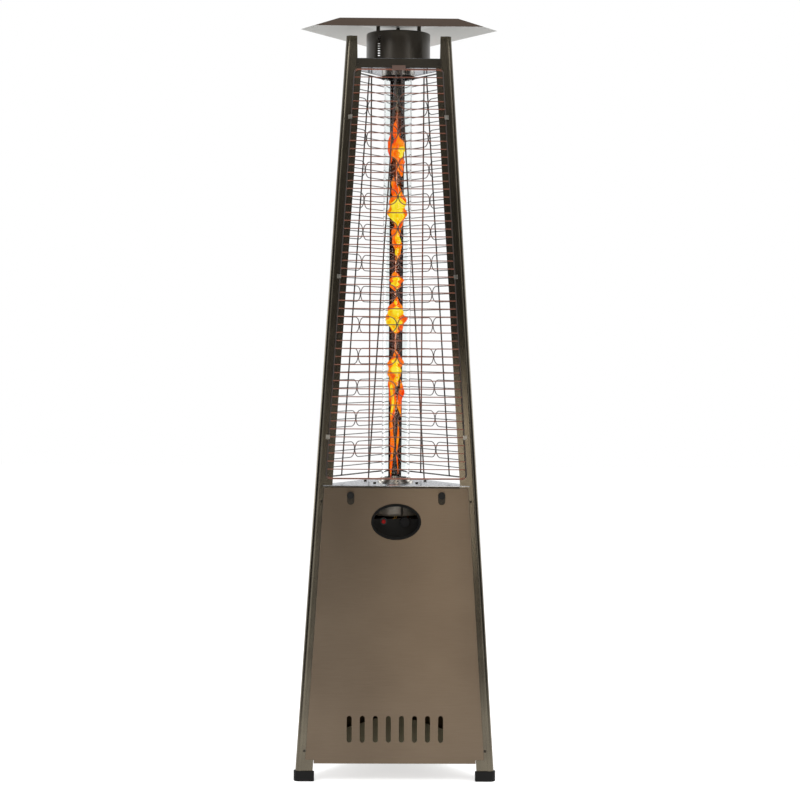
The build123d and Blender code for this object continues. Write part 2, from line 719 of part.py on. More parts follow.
# Gasket under the collar, with a notched lower edge
with BuildPart() as top_gasket:
    with BuildSketch(level(RAIL_TOP - COLLAR_DEPTH)):
        Circle(COLLAR_RADIUS)
        Circle(TUBE_RADIUS + 2 * TUBE_FIT, mode=Mode.SUBTRACT)
    extrude(amount=-GASKET_HEIGHT)
    with BuildSketch(level(RAIL_TOP - COLLAR_DEPTH - GASKET_HEIGHT)):
        with PolarLocations(COLLAR_RADIUS, GASKET_NOTCHES):
            Rectangle(2 * (COLLAR_RADIUS - TUBE_RADIUS), GASKET_NOTCH_WIDTH)
    extrude(amount=GASKET_NOTCH_RISE, mode=Mode.SUBTRACT)
save(top_gasket.part, "top_gasket")

# Top rails screwed over the leg flanges: channels whose shelves carry the top plate and the shield
for name, angle in FACES.items():
    rail_middle = RAIL_TOP - RAIL_HEIGHT / 2
    with BuildPart() as rail:
        with BuildSketch(face(angle)):
            Polygon(*band(RAIL_FOOT, RAIL_TOP, RAIL_INSET))
            with Locations(*face_ends(rail_middle, RAIL_SCREW_INSET)):
                Circle(BOLT_RADIUS + BOLT_FIT, mode=Mode.SUBTRACT)
        extrude(amount=RAIL_SHEET)
        shelf_half = half_side(RAIL_TOP) - LEG_FLANGE - SHELF_GAP
        for height, turn in ((RAIL_TOP, -1), (RAIL_FOOT, 1)):
            with BuildSketch(corner_plane(angle, height)):
                with Locations((inradius(height) + RAIL_SHEET / 2, 0)):
                    Rectangle(RAIL_SHELF, 2 * shelf_half, align=(Align.MAX, Align.CENTER))
            extrude(amount=turn * RAIL_SHEET)
    save(rail.part, f"top_rail_{name}")

with BuildPart() as rail_screws:
    for angle in FACES.values():
        with BuildSketch(face(angle).offset(RAIL_SHEET)):
            with Locations(*face_ends(rail_middle, RAIL_SCREW_INSET)):
                Circle(BOLT_HEAD_RADIUS)
        extrude(amount=BOLT_HEAD)
        with BuildSketch(face(angle).offset(RAIL_SHEET)):
            with Locations(*face_ends(rail_middle, RAIL_SCREW_INSET)):
                Circle(BOLT_RADIUS)
        extrude(amount=-BOLT_TAIL)
save(rail_screws.part, "rail_screws")

with BuildPart() as top_plate:
    with BuildSketch(level(RAIL_TOP)):
        plate_reach = inradius(RAIL_TOP) - LEG_SHEET - SHELF_GAP
        Polygon(*cut_triangle(plate_reach, 2 * inradius(RAIL_TOP) - TOP_CORNER_GAP))
        Circle(TUBE_RADIUS, mode=Mode.SUBTRACT)
    extrude(amount=TOP_SHEET)
save(top_plate.part, "top_plate")

# Bright shield under the rails, round the collar
with BuildPart() as top_shield:
    with BuildSketch(level(RAIL_FOOT)):
        shield_reach = inradius(RAIL_FOOT) - LEG_SHEET - SHELF_GAP
        Polygon(*cut_triangle(shield_reach, 2 * inradius(RAIL_FOOT) - TOP_CORNER_GAP))
        Circle(COLLAR_RADIUS + TUBE_FIT, mode=Mode.SUBTRACT)
    extrude(amount=-SHIELD_SHEET)
save(top_shield.part, "top_shield")

# Bare plate that stands off the front rail, clear of the guard's top wire
with BuildPart() as rail_plate:
    with BuildSketch(front.offset(RAIL_SHEET)):
        with Locations((0, up(RAIL_TOP - BADGE_DROP))):
            Rectangle(BADGE_WIDTH, BADGE_PAD, align=(Align.CENTER, Align.MAX))
    extrude(amount=BADGE_STANDOFF)
    with BuildSketch(front.offset(RAIL_SHEET + BADGE_STANDOFF)):
        with Locations((0, up(RAIL_TOP - BADGE_DROP))):
            Rectangle(BADGE_WIDTH, BADGE_HEIGHT, align=(Align.CENTER, Align.MAX))
    extrude(amount=BADGE_SHEET)
save(rail_plate.part, "rail_plate")

# Drum on the top plate, open at its mouth under the reflector, with a ladder of slots front and rear
with BuildPart() as drum:
    with BuildSketch(level(DRUM_FOOT)):
        Circle(DRUM_RADIUS)
    extrude(amount=DRUM_HEIGHT)
    fillet(drum.faces().sort_by(Axis.Z)[-1].edges(), DRUM_EDGE)
    offset(amount=-DRUM_SHEET, openings=drum.faces().sort_by(Axis.Z)[0])
    slot_low = DRUM_FOOT + DRUM_SLOT_RISE
    for turn in (-DRUM_SLOT_TURN, DRUM_SLOT_TURN):
        radial = (cos(radians(turn)), sin(radians(turn)), 0)
        with BuildSketch(Plane((0, AXIS_Y, 0), x_dir=(-radial[1], radial[0], 0), z_dir=radial)):
            for row in range(DRUM_SLOT_ROWS):
                with Locations((0, slot_low + row * DRUM_SLOT_PITCH)):
                    SlotOverall(DRUM_SLOT_WIDTH, DRUM_SLOT_HEIGHT)
        extrude(amount=DRUM_RADIUS + DRUM_SHEET, mode=Mode.SUBTRACT)
    with BuildSketch(level(DRUM_TOP)):
        Circle(DRUM_MOUTH)
        with PolarLocations(STANDOFF_RING, 3, start_angle=CORNERS["rear"]):
            Circle(CAP_BOLT_RADIUS + BOLT_FIT)
    extrude(amount=-2 * DRUM_SHEET, mode=Mode.SUBTRACT)
save(drum.part, "exhaust_drum")

# Reflector on three standoffs
with BuildPart() as reflector_standoffs:
    with BuildSketch(level(DRUM_TOP)):
        with PolarLocations(STANDOFF_RING, 3, start_angle=CORNERS["rear"]):
            Circle(STANDOFF_RADIUS)
            Circle(CAP_BOLT_RADIUS + BOLT_FIT, mode=Mode.SUBTRACT)
    extrude(amount=STANDOFF_HEIGHT)
save(reflector_standoffs.part, "reflector_standoffs")

with BuildPart() as reflector:
    for drop, mode in ((0, Mode.ADD), (REFLECTOR_SHEET, Mode.SUBTRACT)):
        with BuildSketch(level(CROWN_TOP - REFLECTOR_RISE - drop)):
            Polygon(*cut_triangle(RIM_REACH, RIM_CORNER))
        with BuildSketch(level(CROWN_TOP - drop)):
            Polygon(*cut_triangle(CROWN_REACH, CROWN_CORNER))
        loft(ruled=True, mode=mode)
    with BuildSketch(level(CROWN_TOP)):
        with PolarLocations(STANDOFF_RING, 3, start_angle=CORNERS["rear"]):
            Circle(CAP_BOLT_RADIUS + BOLT_FIT)
    extrude(amount=-2 * REFLECTOR_SHEET, mode=Mode.SUBTRACT)
save(reflector.part, "reflector")

with BuildPart() as reflector_bolts:
    with BuildSketch(level(CROWN_TOP)):
        with PolarLocations(STANDOFF_RING, 3, start_angle=CORNERS["rear"]):
            Circle(CAP_BOLT_HEAD_RADIUS)
    extrude(amount=CAP_BOLT_HEAD)
    fillet(reflector_bolts.faces().group_by(Axis.Z)[-1].edges(), CAP_BOLT_HEAD / 2)
    with BuildSketch(level(CROWN_TOP)):
        with PolarLocations(STANDOFF_RING, 3, start_angle=CORNERS["rear"]):
            Circle(CAP_BOLT_RADIUS)
    extrude(amount=-STANDOFF_HEIGHT - 4 * DRUM_SHEET)
save(reflector_bolts.part, "reflector_bolts")

# Wire guard of one face: rim, cross wires, hairpins that meet at the middle, and two slanting wires
guard_plane = front.offset(GUARD_RIM_RADIUS + GUARD_SEAT)
wire_lift = 2 * GUARD_WIRE_RADIUS - GUARD_WELD
hairpin_plane = guard_plane.offset(wire_lift)
slant_plane = guard_plane.offset(GUARD_WELD - GUARD_WIRE_RADIUS - GUARD_SLANT_RADIUS)
guard_rise = up(GUARD_TOP) - up(GUARD_FOOT)
row_count = int(guard_rise / GUARD_PITCH)


def row_height(row):
    """Place of a cross wire up the face, counted from the guard's top."""
    return up(GUARD_TOP) - (row_count - row) * GUARD_PITCH


def row_half(row):
    """Half the length of a cross wire."""
    return half_side(row_height(row) * cos(LEAN)) - GUARD_INSET


def wire(path, start, towards, radius):
    """Round wire along a path."""
    with BuildSketch(Plane(start, z_dir=towards), mode=Mode.PRIVATE) as end:
        Circle(radius)
    return sweep(end.sketch, path=path, mode=Mode.PRIVATE)


def wire_path(plane, points, radius, close=False):
    """Path of straight runs and round bends on a plane."""
    with BuildLine(plane) as line:
        if radius:
            FilletPolyline(*points, radius=radius, close=close)
        else:
            Polyline(*points)
    return line.wire()


wires = []
paths = []
rim = band(GUARD_FOOT, GUARD_TOP, GUARD_INSET)
paths.append((wire_path(guard_plane, rim, GUARD_CORNER, True), GUARD_RIM_RADIUS))
for row in range(1, row_count):
    height = row_height(row)
    if row % 2 or row == row_count - 1:
        ends = [(-row_half(row), height), (row_half(row), height)]
        paths.append((wire_path(guard_plane, ends, 0), GUARD_WIRE_RADIUS))
    elif row % 4 == 2 and row + 2 < row_count:
        tip = GUARD_WIRE_RADIUS + GUARD_SEAT
        for end in (-1, 1):
            hairpin = [
                (end * row_half(row), height),
                (end * tip, height),
                (end * tip, row_height(row + 2)),
                (end * row_half(row + 2), row_height(row + 2)),
            ]
            bend = GUARD_PITCH - HAIRPIN_STRAIGHT
            paths.append((wire_path(hairpin_plane, hairpin, bend), GUARD_WIRE_RADIUS))
for end in (-1, 1):
    slant = [(end * GUARD_SPREAD_FOOT, up(GUARD_FOOT)), (end * GUARD_SPREAD_TOP, up(GUARD_TOP))]
    paths.append((wire_path(slant_plane, slant, 0), GUARD_SLANT_RADIUS))
for path, radius in paths:
    wires.append(wire(path, path @ 0, path % 0, radius))

with BuildPart() as guard:
    add(wires)
for name, turn in (("front", 0), ("right", 120), ("left", 240)):
    save(guard.part.rotate(BURNER_AXIS, turn), f"guard_{name}")

# Clips on the leg flanges that hook over the guards' rims, each level with a plain cross wire
top_clip_row = row_count - CLIP_END_ROWS - 1
top_clip_row -= 1 - top_clip_row % 2
middle_clip_row = (CLIP_END_ROWS + top_clip_row) // 2
middle_clip_row -= 1 - middle_clip_row % 2
clip_heights = [row_height(row) * cos(LEAN) for row in (CLIP_END_ROWS, middle_clip_row, top_clip_row)]
with BuildPart() as guard_clips:
    riser = GUARD_INSET - GUARD_RIM_RADIUS - CLIP_GAP
    finger_low = 2 * GUARD_RIM_RADIUS + GUARD_SEAT + CLIP_GAP
    for angle in FACES.values():
        for height in clip_heights:
            for end in (-1, 1):
                edge = end * (half_side(height) - riser)
                along_rim = face(angle).y_dir - face(angle).x_dir * (end * TAPER / 2 * cos(LEAN))
                clip_plane = Plane(
                    face(angle).from_local_coords(Vector(edge, up(height), 0)),
                    x_dir=face(angle).x_dir * -end,
                    z_dir=along_rim,
                )
                outer = clip_plane.y_dir.dot(face(angle).z_dir)
                with BuildSketch(clip_plane):
                    Polygon(
                        (-CLIP_FOOT, 0),
                        (0, 0),
                        (0, outer * finger_low),
                        (CLIP_FINGER, outer * finger_low),
                        (CLIP_FINGER, outer * (finger_low + CLIP_SHEET)),
                        (-CLIP_SHEET, outer * (finger_low + CLIP_SHEET)),
                        (-CLIP_SHEET, outer * CLIP_SHEET),
                        (-CLIP_FOOT, outer * CLIP_SHEET),
                    )
                extrude(amount=CLIP_HEIGHT / 2, both=True)
save(guard_clips.part, "guard_clips")

# Burner bowl under the deck, hung by four ears
bowl_foot = DECK_UNDER - BOWL_DEPTH
bowl_floor = bowl_foot + BOWL_SHEET
with BuildPart() as burner_bowl:
    with BuildSketch(level(DECK_UNDER)):
        Circle(BOWL_RADIUS)
    extrude(amount=-BOWL_DEPTH)
    fillet(burner_bowl.faces().sort_by(Axis.Z)[0].edges(), BOWL_ROUND)
    offset(amount=-BOWL_SHEET, openings=burner_bowl.faces().sort_by(Axis.Z)[-1])
    for x, y in SCREW_PLACES:
        screw_ring = Vector(x, y).length
        with BuildSketch(Plane(level(DECK_UNDER).origin, x_dir=(x, y, 0), z_dir=(0, 0, 1))):
            Rectangle(screw_ring + BOWL_EAR_MARGIN, BOWL_EAR_WIDTH, align=(Align.MIN, Align.CENTER))
            Circle(BOWL_RADIUS - BOWL_SHEET, mode=Mode.SUBTRACT)
            with Locations((screw_ring, 0)):
                Circle(BOLT_RADIUS + BOLT_FIT, mode=Mode.SUBTRACT)
        extrude(amount=-BOWL_SHEET)
    with BuildSketch(level(bowl_foot)):
        Circle(NOZZLE_RADIUS + NOZZLE_FIT)
        with Locations((PROBE_X, PROBE_Y)):
            Circle(PROBE_RADIUS + PILOT_FIT)
    extrude(amount=2 * BOWL_SHEET, mode=Mode.SUBTRACT)
    with BuildSketch(facing(PILOT_X, -PILOT_RING, PILOT_TUBE_TURN)):
        Circle(PILOT_TUBE_RADIUS + PILOT_FIT)
    extrude(amount=BOWL_RADIUS, mode=Mode.SUBTRACT)
save(burner_bowl.part, "burner_bowl")

# Screws through the deck that hold the bowl's ears
with BuildPart() as bowl_screws:
    with BuildSketch(level(DECK_TOP)):
        with Locations(*SCREW_PLACES):
            Circle(SCREW_HEAD_RADIUS)
    extrude(amount=SCREW_HEAD)
    fillet(bowl_screws.faces().group_by(Axis.Z)[-1].edges(), SCREW_HEAD_ROUND)
    with BuildSketch(level(DECK_TOP)):
        with Locations(*SCREW_PLACES):
            Circle(BOLT_RADIUS)
    extrude(amount=-BOLT_TAIL)
save(bowl_screws.part, "bowl_screws")

with BuildPart() as gas_injector:
    with BuildSketch(level(bowl_foot)):
        RegularPolygon(INJECTOR_RADIUS, 6)
    extrude(amount=-INJECTOR_HEIGHT)
    with BuildSketch(level(bowl_foot)):
        Circle(NOZZLE_RADIUS)
    extrude(amount=NOZZLE_RISE)
save(gas_injector.part, "gas_injector")

head_foot = DECK_TOP + HEAD_TOP_RISE - HEAD_HEIGHT
with BuildPart() as mixer_tube:
    with BuildSketch(level(bowl_floor)):
        Circle(MIXER_RADIUS)
        Circle(MIXER_RADIUS - MIXER_WALL, mode=Mode.SUBTRACT)
    extrude(amount=head_foot - bowl_floor)
    for turn in (0, 90):
        with BuildSketch(Plane.XZ.rotated((0, 0, turn)).move(Location((0, AXIS_Y, bowl_floor)))):
            with Locations((0, 2 * MIXER_PORT_RADIUS)):
                Circle(MIXER_PORT_RADIUS)
        extrude(amount=2 * MIXER_RADIUS, both=True, mode=Mode.SUBTRACT)
save(mixer_tube.part, "mixer_tube")

with BuildPart() as burner_head:
    with BuildSketch(level(head_foot)):
        Circle(HEAD_RADIUS)
    extrude(amount=HEAD_HEIGHT)
    with BuildSketch(level(head_foot)):
        Circle(MIXER_RADIUS - MIXER_WALL)
    extrude(amount=HEAD_HEIGHT / 2, mode=Mode.SUBTRACT)
    with BuildSketch(level(head_foot)):
        with PolarLocations(HEAD_PORT_RING, HEAD_PORTS):
            Circle(HEAD_PORT_RADIUS)
    extrude(amount=HEAD_HEIGHT, mode=Mode.SUBTRACT)
    fillet(burner_head.faces().sort_by(Axis.Z)[-1].outer_wire().edges(), HEAD_PORT_RADIUS)
save(burner_head.part, "burner_head")

# Control fascia hung from the deck, behind the window
fascia_y = -inradius(CONTROL_HEIGHT) + FASCIA_SETBACK
with BuildPart() as control_fascia:
    with BuildSketch(facing(0, fascia_y, 0)):
        with Locations((0, FASCIA_TOP)):
            Rectangle(2 * FASCIA_HALF_WIDTH, FASCIA_TOP - FASCIA_BOTTOM, align=(Align.CENTER, Align.MAX))
        for end in (-1, 1):
            with Locations((end * (FASCIA_HALF_WIDTH - FASCIA_STRAP / 2), DECK_UNDER)):
                Rectangle(FASCIA_STRAP, DECK_UNDER - FASCIA_BOTTOM, align=(Align.CENTER, Align.MAX))
        with Locations((VALVE_X, CONTROL_HEIGHT)):
            Circle(SPINDLE_RADIUS + BOLT_FIT, mode=Mode.SUBTRACT)
        with Locations((BUTTON_X, CONTROL_HEIGHT)):
            Circle(IGNITER_RADIUS, mode=Mode.SUBTRACT)
    extrude(amount=-FASCIA_SHEET)
    with BuildSketch(level(DECK_UNDER)):
        for end in (-1, 1):
            with Locations((end * (FASCIA_HALF_WIDTH - FASCIA_STRAP / 2), fascia_y)):
                Rectangle(FASCIA_STRAP, FASCIA_FOOT, align=(Align.CENTER, Align.MIN))
    extrude(amount=-FASCIA_SHEET)
save(control_fascia.part, "control_fascia")

# Gas valve with its pushed and turned spindle, and the control knob
valve_y = fascia_y + FASCIA_SHEET
with BuildPart() as gas_valve:
    with BuildSketch(facing(VALVE_X, valve_y, VALVE_TOP)):
        Rectangle(VALVE_WIDTH, VALVE_TOP - VALVE_BOTTOM, align=(Align.CENTER, Align.MAX))
    extrude(amount=-VALVE_DEPTH)
    fillet(gas_valve.edges().filter_by(Axis.Y), VALVE_EDGE)
    with BuildSketch(facing(VALVE_X, valve_y, CONTROL_HEIGHT)):
        Circle(SPINDLE_RADIUS + SPINDLE_FIT)
    extrude(amount=-SPINDLE_BURIED - SPINDLE_TRAVEL - KNOB_GAP, mode=Mode.SUBTRACT)
save(gas_valve.part, "gas_valve")

knob_back = fascia_y - KNOB_GAP
with BuildPart() as valve_spindle:
    with BuildSketch(facing(VALVE_X, valve_y + SPINDLE_BURIED, CONTROL_HEIGHT)):
        Circle(SPINDLE_RADIUS)
    extrude(amount=SPINDLE_BURIED + FASCIA_SHEET + KNOB_GAP + KNOB_SOCKET - KNOB_FIT)
save(valve_spindle.part, "valve_spindle")

with BuildPart() as control_knob:
    with BuildSketch(facing(VALVE_X, knob_back, CONTROL_HEIGHT)):
        Circle(KNOB_RADIUS)
    extrude(amount=KNOB_DEPTH)
    fillet(control_knob.faces().sort_by(Axis.Y)[0].edges(), KNOB_EDGE)
    with BuildSketch(facing(VALVE_X, knob_back - KNOB_DEPTH, CONTROL_HEIGHT)):
        RectangleRounded(KNOB_RIB_WIDTH, 2 * (KNOB_RADIUS - KNOB_RIB_INSET), KNOB_RIB_ROUND)
    extrude(amount=KNOB_RIB_RISE)
    with BuildSketch(facing(VALVE_X, knob_back, CONTROL_HEIGHT)):
        Circle(SPINDLE_RADIUS + KNOB_FIT)
    extrude(amount=KNOB_SOCKET, mode=Mode.SUBTRACT)
save(control_knob.part, "control_knob")

# Igniter barrel in the fascia and its push button
with BuildPart() as igniter_body:
    with BuildSketch(facing(BUTTON_X, fascia_y, CONTROL_HEIGHT)):
        Circle(IGNITER_COLLAR_RADIUS)
    extrude(amount=IGNITER_COLLAR)
    with BuildSketch(facing(BUTTON_X, fascia_y, CONTROL_HEIGHT)):
        Circle(IGNITER_RADIUS - BOLT_FIT)
    extrude(amount=-IGNITER_DEPTH)
    with BuildSketch(facing(BUTTON_X, fascia_y - IGNITER_COLLAR, CONTROL_HEIGHT)):
        Circle(BUTTON_RADIUS + BUTTON_FIT)
    extrude(amount=-IGNITER_COLLAR - BUTTON_BURIED - 2 * BUTTON_TRAVEL, mode=Mode.SUBTRACT)
save(igniter_body.part, "igniter_body")

with BuildPart() as igniter_button:
    with BuildSketch(facing(BUTTON_X, fascia_y + BUTTON_BURIED, CONTROL_HEIGHT)):
        Circle(BUTTON_RADIUS)
    extrude(amount=BUTTON_BURIED + IGNITER_COLLAR + BUTTON_PROUD)
    fillet(igniter_button.faces().sort_by(Axis.Y)[0].edges(), BUTTON_EDGE)
save(igniter_button.part, "igniter_button")

# Gas inlet under the valve, pipe to the injector, tilt switch
with BuildPart() as gas_inlet:
    with BuildSketch(level(VALVE_BOTTOM)):
        with Locations((VALVE_X, valve_y + VALVE_DEPTH / 2)):
            RegularPolygon(INLET_NUT_RADIUS, 6)
    extrude(amount=-INLET_NUT)
    with BuildSketch(level(VALVE_BOTTOM)):
        with Locations((VALVE_X, valve_y + VALVE_DEPTH / 2)):
            Circle(INLET_RADIUS)
    extrude(amount=-INLET_LENGTH)
    with BuildSketch(level(VALVE_BOTTOM - INLET_LENGTH)):
        with Locations((VALVE_X, valve_y + VALVE_DEPTH / 2)):
            Circle(INLET_BORE)
    extrude(amount=INLET_LENGTH, mode=Mode.SUBTRACT)
save(gas_inlet.part, "gas_inlet")

valve_back = valve_y + VALVE_DEPTH
pipe_points = [
    (VALVE_X, AXIS_Y + valve_back, PIPE_HEIGHT),
    (VALVE_X, AXIS_Y, PIPE_HEIGHT),
    (0, AXIS_Y, PIPE_HEIGHT),
    (0, AXIS_Y, bowl_foot - INJECTOR_HEIGHT),
]
with BuildPart() as gas_pipe:
    with BuildLine():
        FilletPolyline(*pipe_points, radius=PIPE_BEND)
    with BuildSketch(facing(VALVE_X, valve_back, PIPE_HEIGHT)):
        Circle(PIPE_RADIUS)
    sweep()
save(gas_pipe.part, "gas_pipe")

with BuildPart() as tilt_switch:
    with BuildSketch(facing(TILT_X, valve_y, TILT_TOP)):
        Rectangle(TILT_WIDTH, TILT_HEIGHT, align=(Align.CENTER, Align.MAX))
    extrude(amount=-TILT_DEPTH)
    fillet(tilt_switch.edges().filter_by(Axis.Y), TILT_EDGE)
save(tilt_switch.part, "tilt_switch")

# Pilot burner, spark electrode and flame probe, on a bracket under the deck
with BuildPart() as pilot_bracket:
    with BuildSketch(facing(PILOT_X, -PILOT_RING - 3 * PILOT_BURNER_RADIUS / 2, DECK_UNDER)):
        Rectangle(PILOT_WIDTH, DECK_UNDER - PILOT_SHELF, align=(Align.CENTER, Align.MAX))
    extrude(amount=PILOT_SHEET)
    for height in (DECK_UNDER - PILOT_SHEET, PILOT_SHELF):
        with BuildSketch(level(height)):
            with Locations((PILOT_X, -PILOT_RING - 3 * PILOT_BURNER_RADIUS / 2 - PILOT_SHEET)):
                Rectangle(PILOT_WIDTH, 3 * PILOT_BURNER_RADIUS, align=(Align.CENTER, Align.MIN))
        extrude(amount=PILOT_SHEET)
save(pilot_bracket.part, "pilot_bracket")

with BuildPart() as pilot_burner:
    with BuildSketch(level(PILOT_SHELF + PILOT_SHEET)):
        with Locations((PILOT_X, -PILOT_RING)):
            Circle(PILOT_BURNER_RADIUS)
    extrude(amount=PILOT_BURNER_HEIGHT)
    with BuildSketch(facing(PILOT_X, -PILOT_RING, PILOT_SHELF + PILOT_SHEET + PILOT_BURNER_HEIGHT)):
        Rectangle(PILOT_BURNER_RADIUS, PILOT_BURNER_RADIUS, align=(Align.CENTER, Align.MAX))
    extrude(amount=2 * PILOT_BURNER_RADIUS, both=True, mode=Mode.SUBTRACT)
save(pilot_burner.part, "pilot_burner")

with BuildPart() as spark_electrode:
    with BuildSketch(level(PILOT_SHELF + PILOT_SHEET)):
        with Locations((PILOT_X - ELECTRODE_OFFSET, -PILOT_RING)):
            Circle(ELECTRODE_RADIUS)
    extrude(amount=ELECTRODE_BODY)
    with BuildSketch(level(PILOT_SHELF + PILOT_SHEET + ELECTRODE_BODY)):
        with Locations((PILOT_X - ELECTRODE_OFFSET, -PILOT_RING)):
            Circle(ELECTRODE_TIP_RADIUS)
    extrude(amount=ELECTRODE_TIP)
save(spark_electrode.part, "spark_electrode")

pilot_points = [
    (PILOT_X, AXIS_Y - PILOT_REACH, VALVE_TOP),
    (PILOT_X, AXIS_Y - PILOT_REACH, PILOT_TUBE_TURN),
    (PILOT_X, AXIS_Y - PILOT_RING, PILOT_TUBE_TURN),
    (PILOT_X, AXIS_Y - PILOT_RING, PILOT_SHELF),
]
with BuildPart() as pilot_tube:
    with BuildLine():
        FilletPolyline(*pilot_points, radius=PILOT_TUBE_BEND)
    with BuildSketch(level(VALVE_TOP)):
        with Locations((PILOT_X, -PILOT_REACH)):
            Circle(PILOT_TUBE_RADIUS)
    sweep()
save(pilot_tube.part, "pilot_tube")

probe_points = [
    (PROBE_X, AXIS_Y + valve_back, PROBE_HEIGHT),
    (PROBE_X, AXIS_Y + PROBE_Y, PROBE_HEIGHT),
    (PROBE_X, AXIS_Y + PROBE_Y, PROBE_TOP),
    (PILOT_X + 2 * PILOT_BURNER_RADIUS, AXIS_Y - PILOT_RING + 2 * PILOT_BURNER_RADIUS, PROBE_TOP),
]
with BuildPart() as flame_probe:
    with BuildLine():
        FilletPolyline(*probe_points, radius=PROBE_BEND)
    with BuildSketch(facing(PROBE_X, valve_back, PROBE_HEIGHT)):
        Circle(PROBE_RADIUS)
    sweep()
save(flame_probe.part, "flame_probe")
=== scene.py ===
"""Three-sided glass-tube patio heater: finishes, flame and studio, around the fixed frame."""

import json
import logging
from dataclasses import dataclass, field
from enum import Enum
from math import atan2, cos, pi, radians, sin
from typing import Any

import bmesh
import bpy
from mathutils import Matrix, Vector

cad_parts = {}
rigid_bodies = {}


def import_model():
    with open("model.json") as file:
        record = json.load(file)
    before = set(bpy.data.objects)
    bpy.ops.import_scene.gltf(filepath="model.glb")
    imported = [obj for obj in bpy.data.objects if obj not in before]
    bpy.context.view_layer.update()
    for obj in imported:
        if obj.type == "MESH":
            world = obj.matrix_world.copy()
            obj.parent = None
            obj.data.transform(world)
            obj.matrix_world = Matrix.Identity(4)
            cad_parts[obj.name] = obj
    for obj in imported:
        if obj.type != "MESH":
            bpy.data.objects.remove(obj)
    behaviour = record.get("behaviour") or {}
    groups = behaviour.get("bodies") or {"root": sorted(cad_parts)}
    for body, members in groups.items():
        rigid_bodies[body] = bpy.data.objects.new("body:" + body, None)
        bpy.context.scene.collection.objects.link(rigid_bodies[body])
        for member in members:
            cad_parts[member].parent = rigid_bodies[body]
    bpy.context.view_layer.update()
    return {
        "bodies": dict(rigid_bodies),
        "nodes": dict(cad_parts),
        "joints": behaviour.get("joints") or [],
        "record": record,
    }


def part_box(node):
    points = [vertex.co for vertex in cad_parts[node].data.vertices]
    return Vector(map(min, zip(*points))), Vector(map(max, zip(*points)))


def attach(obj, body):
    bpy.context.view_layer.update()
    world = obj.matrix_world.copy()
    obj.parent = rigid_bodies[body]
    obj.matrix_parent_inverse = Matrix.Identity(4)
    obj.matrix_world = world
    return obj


log = logging.getLogger("heater")

MM = 0.001
PHOTO_SIDE = 800
BURNER_AXIS_Y = -75.9 * MM
HEATER_MIDDLE = Vector((0.0, BURNER_AXIS_Y, 1.1))

# Brushed lines run level: they are this much finer up the sheet than along it.
LEVEL_LINES = (1.0, 1.0, 60.0)
# Shares of a pattern where a ramp starts and ends, since noise seldom leaves this range.
RAMP_START, RAMP_END = 0.3, 0.7
# Numbers of the colour sockets on Blender's mix node.
MIX_A, MIX_B, MIX_RESULT = 6, 7, 2

Material = bpy.types.Material
Tree = bpy.types.NodeTree
Node = bpy.types.Node
Socket = bpy.types.NodeSocket
Place = tuple[float, float, float]
Stops = tuple[tuple[float, str], ...]


def linear(code: str) -> tuple[float, float, float, float]:
    """Turn an sRGB hex colour into linear light.

    Args:
        code: Six hex digits after a hash.

    Returns:
        Red, green, blue and alpha, linear.
    """
    shares = [int(code[i:i + 2], 16) / 255 for i in (1, 3, 5)]
    red, green, blue = [
        s / 12.92 if s <= 0.04045 else ((s + 0.055) / 1.055) ** 2.4 for s in shares
    ]
    return red, green, blue, 1.0


def per_metre(size_mm: float) -> float:
    """Texture scale, in repeats per metre, of a pattern with a real size in millimetres."""
    return 1.0 / (size_mm * MM)


def between(low: str, high: str) -> Stops:
    """Stops of a ramp from one hex colour to another, over the range that noise mostly has."""
    return (RAMP_START, low), (RAMP_END, high)


def add_node(
    tree: Tree,
    kind: str,
    inputs: dict[str | int, Any] | None = None,
    feeds: Socket | None = None,
    stops: Stops = (),
    **settings: Any,
) -> Node:
    """Add a shader node with its settings and links.

    Args:
        tree: Node tree that takes the node.
        kind: Blender's node type.
        inputs: Socket name or number to a value or to another node's output.
        feeds: Another node's input, which takes this node's first output.
        stops: A ramp's places and hex colours.
        settings: Attributes of the node.

    Returns:
        The new node.
    """
    node = tree.nodes.new(kind)
    for name, value in settings.items():
        setattr(node, name, value)
    for name, value in (inputs or {}).items():
        if isinstance(value, Socket):
            tree.links.new(value, node.inputs[name])
        else:
            node.inputs[name].default_value = value
    for number, (share, code) in enumerate(stops):
        ramp = node.color_ramp.elements
        stop = ramp[number] if number < len(ramp) else ramp.new(share)
        stop.position, stop.color = share, linear(code)
    if feeds is not None:
        tree.links.new(node.outputs[0], feeds)
    return node


@dataclass(frozen=True)
class Finish:
    """A surface finish: what every finish shares.

    Attributes:
        name: Common name of the material and how its surface was made.
        colour: Main colour, sRGB hex.
        roughness: Mean roughness.
        metallic: 1 for bare metal, 0 for plastic, glass and ceramic, more for paint with flake.
    """

    name: str
    colour: str
    roughness: float
    metallic: float = 0.0

    def build(self) -> Material:
        """Make the material."""
        raise NotImplementedError

    def start(self) -> tuple[Material, Tree, Node, Socket]:
        """Make a material in the main colour, with no pattern yet.

        Returns:
            The material, its tree, its principled shader and its object coordinates.
        """
        material = bpy.data.materials.new(self.name)
        material.use_nodes = True
        tree = material.node_tree
        tree.nodes.clear()
        shader = add_node(tree, "ShaderNodeBsdfPrincipled", {
            "Base Color": linear(self.colour),
            "Roughness": self.roughness,
            "Metallic": self.metallic,
        })
        add_node(tree, "ShaderNodeOutputMaterial", {"Surface": shader.outputs[0]})
        place = add_node(tree, "ShaderNodeTexCoord").outputs["Object"]
        material.diffuse_color = linear(self.colour)
        return material, tree, shader, place

    def rough_by(self, share: Socket, below: float, above: float) -> dict[str, Any]:
        """Inputs that map a pattern to a roughness so much below and above the mean."""
        return {"Value": share, "To Min": self.roughness - below, "To Max": self.roughness + above}


